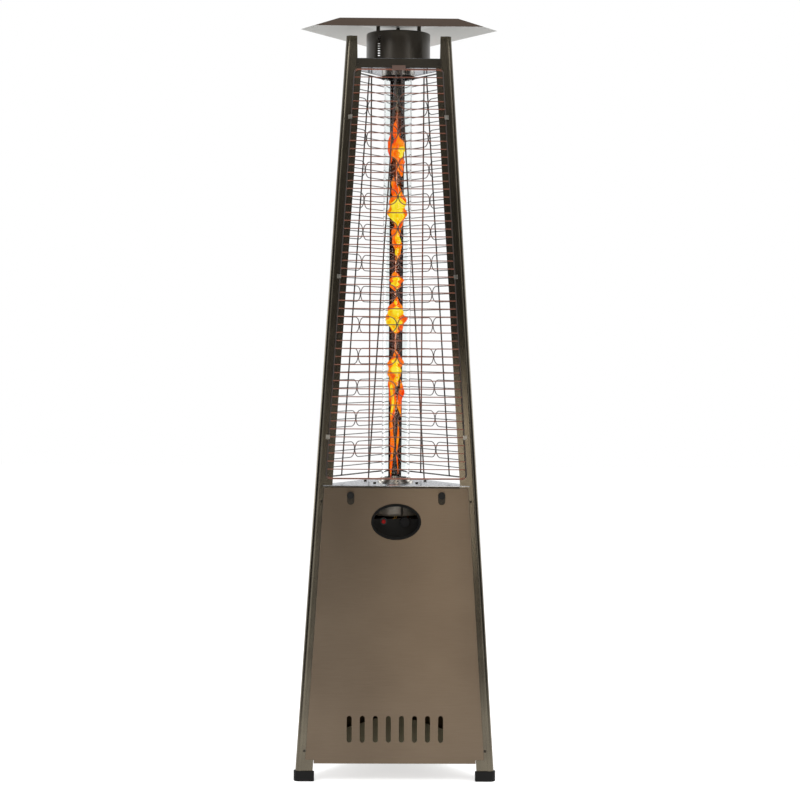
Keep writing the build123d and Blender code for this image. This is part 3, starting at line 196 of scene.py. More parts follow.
@dataclass(frozen=True)
class PowderCoat(Finish):
    """Powder-coated steel: a soft satin skin with a fine orange peel that breaks its highlights."""

    shade: str = "#2b2a25"
    peel_mm: float = 2.5
    peel_depth_mm: float = 0.05
    peel_strength: float = 0.04
    cloud_mm: float = 90.0
    uneven: float = 0.06
    coat: float = 0.25
    coat_roughness: float = 0.12
    gloss: float = 0.5

    def build(self) -> Material:
        """Make the coat: broad clouds in its colour, orange peel in its shine.

        Returns:
            The material.
        """
        material, tree, shader, place = self.start()
        peel = add_node(tree, "ShaderNodeTexNoise", {
            "Vector": place, "Scale": per_metre(self.peel_mm), "Detail": 3.0,
        }).outputs["Fac"]
        cloud = add_node(tree, "ShaderNodeTexNoise", {
            "Vector": place, "Scale": per_metre(self.cloud_mm), "Detail": 4.0,
        }).outputs["Fac"]
        add_node(
            tree, "ShaderNodeValToRGB", {"Fac": cloud}, shader.inputs["Base Color"],
            between(self.shade, self.colour))
        add_node(
            tree, "ShaderNodeMapRange", self.rough_by(peel, self.uneven, self.uneven),
            shader.inputs["Roughness"])
        add_node(tree, "ShaderNodeBump", {
            "Height": peel, "Distance": self.peel_depth_mm * MM, "Strength": self.peel_strength,
        }, shader.inputs["Normal"])
        shader.inputs["Specular IOR Level"].default_value = self.gloss
        shader.inputs["Coat Weight"].default_value = self.coat
        shader.inputs["Coat Roughness"].default_value = self.coat_roughness
        return material


@dataclass(frozen=True)
class PaintedFlameLightWire(Finish):
    """Dark coated wire near the flame, with painted flame light: level wires are painted copper-red
    above and below.

    Upright wires stay dark, because none of their surface looks up or down.
    """

    # Painted flame light: the copper-red painted on wire whose surface looks up or down.
    painted_flame_light: str = "#b4694c"

    def build(self) -> Material:
        """Make the wire, with painted flame light: redder the more its surface looks up or down.

        Returns:
            The material.
        """
        material, tree, shader, _ = self.start()
        normal = add_node(tree, "ShaderNodeNewGeometry").outputs["True Normal"]
        rise = add_node(tree, "ShaderNodeSeparateXYZ", {0: normal}).outputs["Z"]
        level = add_node(tree, "ShaderNodeMath", {0: rise}, operation="ABSOLUTE").outputs[0]
        # Painted flame light: the colour turns copper-red as the surface looks up or down.
        add_node(
            tree, "ShaderNodeValToRGB", {"Fac": level}, shader.inputs["Base Color"],
            between(self.colour, self.painted_flame_light))
        return material


@dataclass(frozen=True)
class BrushedSteel(Finish):
    """Brushed steel sheet: fine level lines, which stretch its highlights across them.

    The lines are about 0.3 mm apart on real sheet. They are drawn about 1 mm apart, so that they
    show in a picture of the whole heater.
    """

    shade: str = "#514738"
    line_mm: float = 60.0
    line_depth_mm: float = 0.03
    line_strength: float = 0.15
    cloud_mm: float = 260.0
    contrast: float = 0.07
    lean: Place = (0.0, 0.5, 1.0)
    stretch: float = 0.7
    stretch_turn: float = 0.25

    def build(self) -> Material:
        """Make the sheet: lines and broad clouds in its colour, lines in its shine.

        Returns:
            The material.
        """
        material, tree, shader, place = self.start()
        stretched = add_node(tree, "ShaderNodeMapping", {
            "Vector": place, "Scale": LEVEL_LINES,
        }).outputs[0]
        lines = add_node(tree, "ShaderNodeTexNoise", {
            "Vector": stretched, "Scale": per_metre(self.line_mm), "Detail": 5.0, "Roughness": 0.7,
        }).outputs["Fac"]
        cloud = add_node(tree, "ShaderNodeTexNoise", {
            "Vector": place, "Scale": per_metre(self.cloud_mm), "Detail": 2.0,
        }).outputs["Fac"]
        both = add_node(tree, "ShaderNodeMath", {0: lines, 1: cloud}, operation="ADD").outputs[0]
        mean = add_node(tree, "ShaderNodeMath", {0: both, 1: 0.5}, operation="MULTIPLY").outputs[0]
        add_node(
            tree, "ShaderNodeValToRGB", {"Fac": mean}, shader.inputs["Base Color"],
            between(self.shade, self.colour))
        add_node(
            tree, "ShaderNodeMapRange", self.rough_by(lines, self.contrast, self.contrast),
            shader.inputs["Roughness"])
        add_node(tree, "ShaderNodeBump", {
            "Height": lines, "Distance": self.line_depth_mm * MM, "Strength": self.line_strength,
        }, shader.inputs["Normal"])
        normal = add_node(tree, "ShaderNodeNewGeometry").outputs["True Normal"]
        # The lean keeps the tangent defined on upright and on level sheet alike.
        add_node(
            tree, "ShaderNodeVectorMath", {0: normal, 1: self.lean}, shader.inputs["Tangent"],
            operation="CROSS_PRODUCT")
        shader.inputs["Anisotropic"].default_value = self.stretch
        shader.inputs["Anisotropic Rotation"].default_value = self.stretch_turn
        return material


@dataclass(frozen=True)
class ReflectorSheet(Finish):
    """Sheet that is coated bronze on top and bright underneath, where it throws the heat down.

    Its level lines are drawn as coarse as those of the brushed steel.
    """

    bright: str = "#b8b8b5"
    shade: str = "#433830"
    line_mm: float = 60.0
    uneven: float = 0.05
    under_limit: float = -0.2
    gloss: float = 0.01

    def build(self) -> Material:
        """Make the sheet: coated where it looks up, bare metal where it looks down.

        Returns:
            The material.
        """
        material, tree, shader, place = self.start()
        stretched = add_node(tree, "ShaderNodeMapping", {
            "Vector": place, "Scale": LEVEL_LINES,
        }).outputs[0]
        lines = add_node(tree, "ShaderNodeTexNoise", {
            "Vector": stretched, "Scale": per_metre(self.line_mm), "Detail": 4.0,
        }).outputs["Fac"]
        normal = add_node(tree, "ShaderNodeNewGeometry").outputs["True Normal"]
        rise = add_node(tree, "ShaderNodeSeparateXYZ", {0: normal}).outputs["Z"]
        under = add_node(
            tree, "ShaderNodeMath", {0: rise, 1: self.under_limit}, shader.inputs["Metallic"],
            operation="LESS_THAN").outputs[0]
        sides = add_node(tree, "ShaderNodeMix", {"Factor": under}, data_type="RGBA")
        sides.inputs[MIX_B].default_value = linear(self.bright)
        tree.links.new(sides.outputs[MIX_RESULT], shader.inputs["Base Color"])
        add_node(
            tree, "ShaderNodeValToRGB", {"Fac": lines}, sides.inputs[MIX_A],
            between(self.shade, self.colour))
        add_node(
            tree, "ShaderNodeMapRange", self.rough_by(lines, self.uneven, self.uneven),
            shader.inputs["Roughness"])
        shader.inputs["Specular IOR Level"].default_value = self.gloss
        return material


@dataclass(frozen=True)
class MouldedPlastic(Finish):
    """Moulded plastic: an even colour with a fine spark-eroded grain that softens its shine."""

    grain_mm: float = 0.8
    depth_mm: float = 0.04
    strength: float = 0.2
    smoother: float = 0.05
    rougher: float = 0.08
    ior: float = 1.49
    gloss: float = 0.5

    def build(self) -> Material:
        """Make the plastic, with the mould's grain in its shine.

        Returns:
            The material.
        """
        material, tree, shader, place = self.start()
        grain = add_node(tree, "ShaderNodeTexNoise", {
            "Vector": place, "Scale": per_metre(self.grain_mm), "Detail": 2.0,
        }).outputs["Fac"]
        add_node(
            tree, "ShaderNodeMapRange", self.rough_by(grain, self.smoother, self.rougher),
            shader.inputs["Roughness"])
        add_node(tree, "ShaderNodeBump", {
            "Height": grain, "Distance": self.depth_mm * MM, "Strength": self.strength,
        }, shader.inputs["Normal"])
        shader.inputs["IOR"].default_value = self.ior
        shader.inputs["Specular IOR Level"].default_value = self.gloss
        return material


@dataclass(frozen=True)
class PlatedMetal(Finish):
    """Turned, drawn or plated metal: faint clouding over a clean shine."""

    shade: str = "#6e6a63"
    cloud_mm: float = 6.0
    uneven: float = 0.07

    def build(self) -> Material:
        """Make the metal, with small clouds in its colour and shine.

        Returns:
            The material.
        """
        material, tree, shader, place = self.start()
        cloud = add_node(tree, "ShaderNodeTexNoise", {
            "Vector": place, "Scale": per_metre(self.cloud_mm), "Detail": 3.0,
        }).outputs["Fac"]
        add_node(
            tree, "ShaderNodeValToRGB", {"Fac": cloud}, shader.inputs["Base Color"],
            between(self.shade, self.colour))
        add_node(
            tree, "ShaderNodeMapRange", self.rough_by(cloud, self.uneven, self.uneven),
            shader.inputs["Roughness"])
        return material


@dataclass(frozen=True)
class GalvanisedSheet(Finish):
    """Hot-dip galvanised sheet: flat grey with large crystal spangles."""

    shade: str = "#7d7d7b"
    spangle_mm: float = 9.0
    uneven: float = 0.1

    def build(self) -> Material:
        """Make the sheet, each spangle with a grey and a shine of its own.

        Returns:
            The material.
        """
        material, tree, shader, place = self.start()
        spangle = add_node(tree, "ShaderNodeTexVoronoi", {
            "Vector": place, "Scale": per_metre(self.spangle_mm),
        }).outputs["Color"]
        share = add_node(tree, "ShaderNodeSeparateColor", {0: spangle}).outputs[0]
        add_node(
            tree, "ShaderNodeValToRGB", {"Fac": share}, shader.inputs["Base Color"],
            between(self.shade, self.colour))
        add_node(
            tree, "ShaderNodeMapRange", self.rough_by(share, self.uneven, self.uneven),
            shader.inputs["Roughness"])
        return material


@dataclass(frozen=True)
class CastIron(Finish):
    """Sand-cast iron: dark, matte and gritty."""

    shade: str = "#1d1b19"
    grit_mm: float = 1.2
    depth_mm: float = 0.25
    strength: float = 0.5

    def build(self) -> Material:
        """Make the casting, with the sand's grit in its colour and height.

        Returns:
            The material.
        """
        material, tree, shader, place = self.start()
        grit = add_node(tree, "ShaderNodeTexNoise", {
            "Vector": place, "Scale": per_metre(self.grit_mm), "Detail": 6.0,
        }).outputs["Fac"]
        add_node(
            tree, "ShaderNodeValToRGB", {"Fac": grit}, shader.inputs["Base Color"],
            between(self.shade, self.colour))
        add_node(tree, "ShaderNodeBump", {
            "Height": grit, "Distance": self.depth_mm * MM, "Strength": self.strength,
        }, shader.inputs["Normal"])
        return material


@dataclass(frozen=True)
class BorosilicateGlass(Finish):
    """Clear drawn glass tube: hardly coloured, with bright edges where its wall is seen endways.

    Its mirror colour keeps the white studio from veiling the flame.
    """

    shade: str = "#f3f7f7"
    cloud_mm: float = 60.0
    mirror: str = "#959595"
    ior: float = 1.47

    def build(self) -> Material:
        """Make the glass, with a trace of cloud.

        Returns:
            The material.
        """
        material, tree, shader, place = self.start()
        cloud = add_node(tree, "ShaderNodeTexNoise", {
            "Vector": place, "Scale": per_metre(self.cloud_mm), "Detail": 1.0,
        }).outputs["Fac"]
        add_node(
            tree, "ShaderNodeValToRGB", {"Fac": cloud}, shader.inputs["Base Color"],
            between(self.shade, self.colour))
        shader.inputs["Transmission Weight"].default_value = 1.0
        shader.inputs["IOR"].default_value = self.ior
        shader.inputs["Specular Tint"].default_value = linear(self.mirror)
        return material


@dataclass(frozen=True)
class FlameGas(Finish):
    """Burning gas: glows by itself, redder where it is thin and yellower where it is hot."""

    body: str = "#ff6a04"
    body_share: float = 0.48
    heart: str = "#ff9e0e"
    glow: float = 1.0
    veil: float = 0.08
    wisp_mm: float = 16.0
    wisp_stretch: Place = (1.0, 1.0, 0.4)

    def build(self) -> Material:
        """Make the gas, with rising wisps in its colour.

        Returns:
            The material.
        """
        material, tree, shader, place = self.start()
        surface = shader.outputs[0].links[0].to_socket
        tree.nodes.remove(shader)
        lick = add_node(tree, "ShaderNodeMapping", {
            "Vector": place, "Scale": self.wisp_stretch,
        }).outputs[0]
        wisps = add_node(tree, "ShaderNodeTexNoise", {
            "Vector": lick, "Scale": per_metre(self.wisp_mm), "Detail": 3.0, "Distortion": 0.8,
        }).outputs["Fac"]
        light = add_node(tree, "ShaderNodeEmission", {"Strength": self.glow})
        add_node(
            tree, "ShaderNodeValToRGB", {"Fac": wisps}, light.inputs["Color"],
            ((RAMP_START, self.colour), (self.body_share, self.body), (RAMP_END, self.heart)))
        clear = add_node(tree, "ShaderNodeBsdfTransparent")
        add_node(tree, "ShaderNodeMixShader", {
            0: self.veil, 1: light.outputs[0], 2: clear.outputs[0],
        }, surface)
        return material


@dataclass
class Finishes:
    """Every finish on the heater, made once and handed out by slot name."""

    made: dict[str, Material] = field(default_factory=dict)

    def build(self) -> None:
        """Make one material for each of the record's slots, and those that only the scene has."""
        for slot, finish in {**self.outside(), **self.inside(), **self.fire()}.items():
            self.made[slot] = finish.build()
            log.info("finish %s for %s", finish.name, slot)

    def outside(self) -> dict[str, Finish]:
        """List the finishes of legs, base, tube and top.

        Returns:
            Slot name to finish.
        """
        return {
            # Satin coat with metal flake: long soft bands of light down the folded legs.
            "leg_paint": PowderCoat(
                "satin_bronze_powder_coat", "#6b6558", 0.24, 1.0, shade="#5f594e", coat=0.0),
            # A darker coat with less flake: dull gleams along the rails' folds.
            "rail_paint": PowderCoat(
                "dark_bronze_powder_coat", "#38342c", 0.3, 0.6, shade="#302c25", coat=0.2),
            # Black foot caps that show only a soft edge.
            "foot_plastic": MouldedPlastic("black_polypropylene", "#0c0c0c", 0.55, gloss=0.2),
            # Nearly matt coat on the base's floor and under the deck's edge, where its darker tone
            # is painted shade: the dark line below the deck's lip.
            "base_paint": PowderCoat(
                "bronze_powder_coat", "#5b5040", 0.5, 0.3, shade="#4f4537", coat=0.0),
            # Pale sheet with level lines, which mirrors the tube's foot softly.
            "deck_steel": BrushedSteel(
                "brushed_stainless_steel", "#aeb2b8", 0.24, 1.0, shade="#a2a5ab"),
            # Brown sheet with level lines, which blur the studio into broad bands.
            "panel_steel": BrushedSteel(
                "bronze_brushed_steel", "#776a5b", 0.36, 1.0, shade="#665a4d"),
            # Dark and matt from above, a bright soft metal from below.
            "reflector_steel": ReflectorSheet("bronze_coated_aluminium", "#4c4037", 0.55),
            # Nearly black, with a slow gleam round the drum.
            "drum_paint": PowderCoat(
                "dark_heatproof_enamel", "#3c3730", 0.32, 0.6, shade="#322e28", coat=0.1),
            # Clear, and seen mostly by its edges.
            "tube_glass": BorosilicateGlass("clear_borosilicate_glass", "#fbfdfd", 0.0),
            # Bright rings at both ends of the tube.
            "ring_steel": PlatedMetal(
                "turned_stainless_steel", "#c2beb7", 0.28, 1.0, shade="#aba79f"),
            # Dark thin wire with a fine line of light.
            "guard_wire": PowderCoat("dark_coated_wire", "#4a4745", 0.3, 0.8, shade="#3e3b39"),
            # The wire in front of the flame, with painted flame light: copper-red where it runs
            # level.
            "front_guard_painted_flame_wire": PaintedFlameLightWire("wire_with_painted_flame_light", "#4c4643", 0.35, 0.6),
            # Small pale hooks on the legs.
            "clip_steel": PlatedMetal("plain_zinc_plate", "#b0ada6", 0.35, 1.0, shade="#98958e"),
            # Flat even brown on the rail's bare plate.
            "plate_bronze": PowderCoat(
                "bronze_brown_enamel", "#5d463c", 0.45, shade="#503b32", coat=0.0),
            # Dark heads and posts with a faint shine.
            "fastener_steel": PlatedMetal("dark_zinc_plate", "#423f39", 0.4, 1.0, shade="#35322d"),
            # Deep black ring round the window, hardly glossy.
            "bezel_plastic": MouldedPlastic("black_abs", "#080908", 0.5, gloss=0.12),
            # Round black catches with soft highlights.
            "catch_plastic": MouldedPlastic("black_nylon_moulding", "#151514", 0.55, gloss=0.2),
            # Dull black ring with hardly any shine.
            "gasket_rubber": MouldedPlastic("black_silicone_rubber", "#141414", 0.75, gloss=0.2),
        }

    def inside(self) -> dict[str, Finish]:
        """List the finishes of the controls, the gas path and the burner.

        Returns:
            Slot name to finish.
        """
        return {
            # Grey sheet with crystal spangles, seen through the window.
            "bowl_steel": GalvanisedSheet("galvanised_sheet", "#a9a49b", 0.5, 0.3, shade="#97928a"),
            # Rough dark casting.
            "burner_iron": CastIron("sand_cast_iron", "#37332f", 0.7, 0.6),
            # Warm yellow with a clean shine.
            "fitting_brass": PlatedMetal("turned_brass", "#c4a058", 0.25, 1.0, shade="#a98643"),
            # Pale grey with a dull shine.
            "valve_alloy": PlatedMetal("die_cast_aluminium", "#b3b3b3", 0.42, 1.0, shade="#989898"),
            # Pale smooth pipe.
            "pipe_alloy": PlatedMetal("drawn_aluminium", "#bebebd", 0.3, 1.0, shade="#a8a8a7"),
            # Thin red-brown probe.
            "probe_copper": PlatedMetal("drawn_copper", "#b87850", 0.3, 1.0, shade="#9b6040"),
            # Nearly white and glassy.
            "electrode_ceramic": MouldedPlastic("glazed_alumina", "#e8e4da", 0.18, depth_mm=0.01),
            # Flat black plate behind the window.
            "fascia_paint": PowderCoat(
                "matt_black_enamel", "#1a1a19", 0.6, shade="#141413", coat=0.0, gloss=0.2),
            # Black knob with a broad soft highlight.
            "knob_plastic": MouldedPlastic("satin_black_phenolic", "#0c0c0d", 0.45, gloss=0.15),
            # The one strong colour on the heater itself, a satin red.
            "button_plastic": MouldedPlastic("red_abs", "#9c0a0a", 0.45, gloss=0.15),
            # Plain black housings.
            "igniter_plastic": MouldedPlastic("black_nylon", "#1c1c1c", 0.5),
        }

    def fire(self) -> dict[str, Finish]:
        """List the finishes of the flame.

        Returns:
            Name to finish.
        """
        return {
            # Orange-red tongues, which let a little of what is behind them through.
            "flame": FlameGas("burning_propane", "#f23002", 0.5),
            # Yellow hearts, the brightest thing in the picture.
            "flame_heart": FlameGas(
                "hottest_propane", "#ff9606", 0.5, body="#ffd80e", heart="#fff04a", veil=0.0),
        }

    def dress(self, piece: bpy.types.Object, slot: str) -> None:
        """Give a piece one finish all over."""
        piece.data.materials.clear()
        piece.data.materials.append(self.made[slot])


def mesh_piece(name: str, build: bmesh.types.BMesh, smooth: bool = True) -> bpy.types.Object:
    """Turn a bmesh into a piece in the scene.

    Args:
        name: Name of the piece.
        build: Finished bmesh, which is freed.
        smooth: Whether its faces shade smoothly.

    Returns:
        The new object.
    """
    bmesh.ops.recalc_face_normals(build, faces=build.faces)
    mesh = bpy.data.meshes.new(name)
    build.to_mesh(mesh)
    build.free()
    for polygon in mesh.polygons:
        polygon.use_smooth = smooth
    piece = bpy.data.objects.new(name, mesh)
    bpy.context.scene.collection.objects.link(piece)
    return piece


@dataclass(frozen=True)
class SoftLamp:
    """Soft rectangular lamp, which the camera doesn't see.

    Attributes:
        name: Name of the lamp.
        place: Its middle.
        size: Its width and height.
        watts: Its power.
        colour: Colour of its light, sRGB hex.
        aim: Direction that it shines in; without one it looks at the heater's middle.
    """

    name: str
    place: Place
    size: tuple[float, float]
    watts: float
    colour: str = "#ffffff"
    aim: Place | None = None

    def build(self) -> None:
        """Hang the lamp in the scene."""
        light = bpy.data.lights.new(self.name, "AREA")
        light.shape = "RECTANGLE"
        light.size, light.size_y = self.size
        light.energy = self.watts
        light.color = linear(self.colour)[:3]
        lamp = bpy.data.objects.new(self.name, light)
        lamp.location = self.place
        lamp.visible_camera = False
        aim = Vector(self.aim) if self.aim else HEATER_MIDDLE - Vector(self.place)
        lamp.rotation_euler = aim.to_track_quat("-Z", "Y").to_euler()
        bpy.context.scene.collection.objects.link(lamp)
        log.info("lamp %s", self.name)


@dataclass(frozen=True)
class DarkCard:
    """Standing dark card, which only reflections show.

    It gives shiny metal its dark lines and slopes of tone.

    Attributes:
        name: Name of the card.
        place: Its middle.
        half: Half its width and half its height.
        turn: Angle about the upright that it faces, in degrees; 0 faces the rear.
    """

    name: str
    place: Place
    half: tuple[float, float]
    turn: float = 0.0

    def build(self, board: Material) -> None:
        """Stand the card in the studio.

        Args:
            board: Material of the card.
        """
        build = bmesh.new()
        bmesh.ops.create_grid(build, x_segments=1, y_segments=1, size=1.0)
        upright = Matrix.Rotation(radians(90), 4, "X")
        stand = Matrix.Rotation(radians(self.turn), 4, "Z") @ upright
        move = Matrix.Translation(self.place) @ stand @ Matrix.Diagonal((*self.half, 1.0, 1.0))
        bmesh.ops.transform(build, matrix=move, verts=build.verts)
        card = mesh_piece(self.name, build, smooth=False)
        card.data.materials.append(board)
        card.visible_camera = False
        card.visible_diffuse = False
        card.visible_shadow = False
        card.visible_transmission = False
        log.info("card %s", self.name)


@dataclass
class CadDressing:
    """The frame's own nodes, each dressed in the finish of its slot.

    Attributes:
        finishes: The finishes.
        special: Finish of each node that has another one than its slot's. The front guard has
            painted flame light, which the other two guards don't have.
    """

    frame: dict[str, Any]
    finishes: Finishes
    special: dict[str, str] = field(default_factory=lambda: {"guard_front": "front_guard_painted_flame_wire"})

    def build(self) -> None:
        """Dress every node."""
        for entry in self.frame["record"]["subparts"]:
            finish = self.special.get(entry["node"], entry["material_slot"])
            self.finishes.dress(self.frame["nodes"][entry["node"]], finish)
            log.info("dressed %s in %s", entry["node"], finish)


class Heat(Enum):
    """How hot a tongue of flame is: its finish, and its depth against its width.

    A heart is deep enough to stand out of the tongue around it, front and back.
    """

    BODY = ("flame", 0.6)
    HEART = ("flame_heart", 1.2)

    @property
    def finish(self) -> str:
        """Name of the finish."""
        return self.value[0]

    @property
    def depth(self) -> float:
        """Depth against width."""
        return self.value[1]


@dataclass(frozen=True)
class FlameTongue:
    """One tongue of flame in the tube.

    Attributes:
        foot_mm: Height of its lower tip.
        head_mm: Height of its upper tip.
        middle_mm: Sideways place of its middle.
        half_width_mm: Half its greatest width.
        sway_mm: How far it swings sideways on its way up.
        turn: Angle about the tube that its flat side faces, in degrees. It also says where the
            sway and the ripple start, so that neighbours differ.
        crown: Share of its height where it is widest.
        heat: How hot it is.
        tip_mm: Half its width at its two tips.
        swings: Number of swings on its way up.
        twist: How far it twists on its way up, in degrees.
        lower_curve: How full it is below the crown; less is fuller.
        upper_curve: How full it is above the crown; less is fuller.
        ripple: Share of its width that ripples.
        ripple_pace: How fast the ripple runs along its height.
        rings: Number of steps in its height.
        sides: Number of points round it.
    """

    foot_mm: float
    head_mm: float
    middle_mm: float
    half_width_mm: float
    sway_mm: float
    turn: float
    crown: float
    heat: Heat = Heat.BODY
    tip_mm: float = 0.4
    swings: float = 1.2
    twist: float = 30.0
    lower_curve: float = 0.7
    upper_curve: float = 1.1
    ripple: float = 0.15
    ripple_pace: float = 19.0
    rings: int = 36
    sides: int = 20

    def build(self, name: str, reach: float) -> bpy.types.Object:
        """Build the tongue as a closed, swaying spindle.

        Args:
            name: Name of the piece.
            reach: Radius that the tongue stays inside.

        Returns:
            The new piece.
        """
        build = bmesh.new()
        rows = []
        for ring in range(self.rings + 1):
            share = ring / self.rings
            half = min(max(self.half_width_mm * self.swell(share), self.tip_mm) * MM, reach)
            swing = sin(2 * pi * self.swings * share + self.turn)
            drift = (self.middle_mm + self.sway_mm * swing) * MM
            limit = reach - half
            rows.append(self.row(build, half, max(-limit, min(limit, drift)), share))
        for below, above in zip(rows, rows[1:]):
            for side in range(self.sides):
                following = (side + 1) % self.sides
                build.faces.new((below[side], below[following], above[following], above[side]))
        build.faces.new(rows[0])
        build.faces.new(rows[-1])
        return mesh_piece(name, build)

    def swell(self, share: float) -> float:
        """Work out how wide the tongue is at one height.

        Args:
            share: Share of the tongue's height.

        Returns:
            Width there, against the greatest width.
        """
        if share < self.crown:
            full = sin(0.5 * pi * share / self.crown) ** self.lower_curve
        else:
            past = (share - self.crown) / (1.0 - self.crown)
            full = max(sin(0.5 * pi * (1.0 + past)), 0.0) ** self.upper_curve
        wave = sin(self.ripple_pace * share + self.turn)
        return full * (1.0 - self.ripple + self.ripple * wave)

    def row(
        self, build: bmesh.types.BMesh, half: float, drift: float, share: float,
    ) -> list[bmesh.types.BMVert]:
        """Add one ring of the spindle.

        Args:
            build: Mesh of the tongue.
            half: Half the ring's width.
            drift: Sideways place of the ring's middle.
            share: Share of the tongue's height that the ring is at.

        Returns:
            The ring's points.
        """
        facing = radians(self.twist * (share - 0.5) + self.turn)
        height = (self.foot_mm + (self.head_mm - self.foot_mm) * share) * MM
        points = []
        for side in range(self.sides):
            angle = 2 * pi * side / self.sides
            across = half * cos(angle)
            deep = half * self.heat.depth * sin(angle)
            x = across * cos(facing) - deep * sin(facing) + drift
            y = across * sin(facing) + deep * cos(facing)
            points.append(build.verts.new((x, BURNER_AXIS_Y + y, height)))
        return points


@dataclass
class TubeFlame:
    """The flame that climbs the glass tube, as the photograph shows it lit.

    Attributes:
        finishes: The finishes.
        clearance_mm: Room between the flame and the outside of the glass.
        tongues: The tongues from the top down.
        glow_colour: Colour of the light that the flame throws on the leg behind it.
        glow_gap_mm: How far behind the glass that light starts, because it can't pass the glass.
        glow_width_mm: Width of that light.
        glow_share: Its height against the tube's.
        glow_watts: Its power.
    """

    finishes: Finishes
    clearance_mm: float = 8.0
    tongues: tuple[FlameTongue, ...] = (
        FlameTongue(1960, 2046, -6, 12, 3, 5, 0.5),
        FlameTongue(1905, 2010, -24, 7, 3, 0, 0.4),
        FlameTongue(1905, 1996, 2, 25, 3, 8, 0.7),
        FlameTongue(1868, 1935, 10, 14, 3, -5, 0.6),
        FlameTongue(1918, 1984, 9, 14, 2, 4, 0.6, Heat.HEART),
        FlameTongue(1770, 1868, -8, 17, 5, -8, 0.35),
        FlameTongue(1702, 1840, 2, 34, 3, -5, 0.45),
        FlameTongue(1708, 1830, 2, 29, 2, -4, 0.42, Heat.HEART),
        FlameTongue(1598, 1730, 0, 17, 4, 6, 0.65),
        FlameTongue(1612, 1720, 0, 11, 3, 5, 0.6, Heat.HEART),
        FlameTongue(1507, 1570, -3, 24, 3, 10, 0.55),
        FlameTongue(1511, 1562, -3, 17, 2, 8, 0.6, Heat.HEART),
        FlameTongue(1373, 1490, -2, 36, 3, -6, 0.4),
        FlameTongue(1376, 1482, -4, 30, 2, -4, 0.42, Heat.HEART),
        FlameTongue(1205, 1320, -3, 27, 4, 8, 0.65),
        FlameTongue(1216, 1310, -2, 20, 3, 6, 0.6, Heat.HEART),
        FlameTongue(1090, 1250, -12, 13, 3, 5, 0.7),
        FlameTongue(1100, 1240, -13, 8, 3, 5, 0.65, Heat.HEART),
        FlameTongue(1110, 1230, 14, 10, 4, -4, 0.6),
        FlameTongue(914, 1120, -13, 7, 2, 4, 0.7),
        FlameTongue(930, 1104, 6, 4, 2, 8, 0.7),
    )
    glow_colour: str = "#ff7434"
    glow_gap_mm: float = 8.0
    glow_width_mm: float = 80.0
    glow_share: float = 0.8
    glow_watts: float = 2.5

    def build(self) -> None:
        """Build every tongue inside the tube, and the light on the leg behind it."""
        low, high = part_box("glass_tube")
        reach = (high.x - low.x) / 2 - self.clearance_mm * MM
        for number, tongue in enumerate(self.tongues, start=1):
            piece = tongue.build(f"flame_tongue_{number}", reach)
            self.finishes.dress(piece, tongue.heat.finish)
            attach(piece, "frame")
            log.info("flame tongue %d, %.0f to %.0f mm", number, tongue.foot_mm, tongue.head_mm)
        behind = (0.0, high.y + self.glow_gap_mm * MM, (low.z + high.z) / 2)
        size = (self.glow_width_mm * MM, self.glow_share * (high.z - low.z))
        SoftLamp(
            "leg_glow", behind, size, self.glow_watts, self.glow_colour, (0.0, 1.0, 0.0)).build()


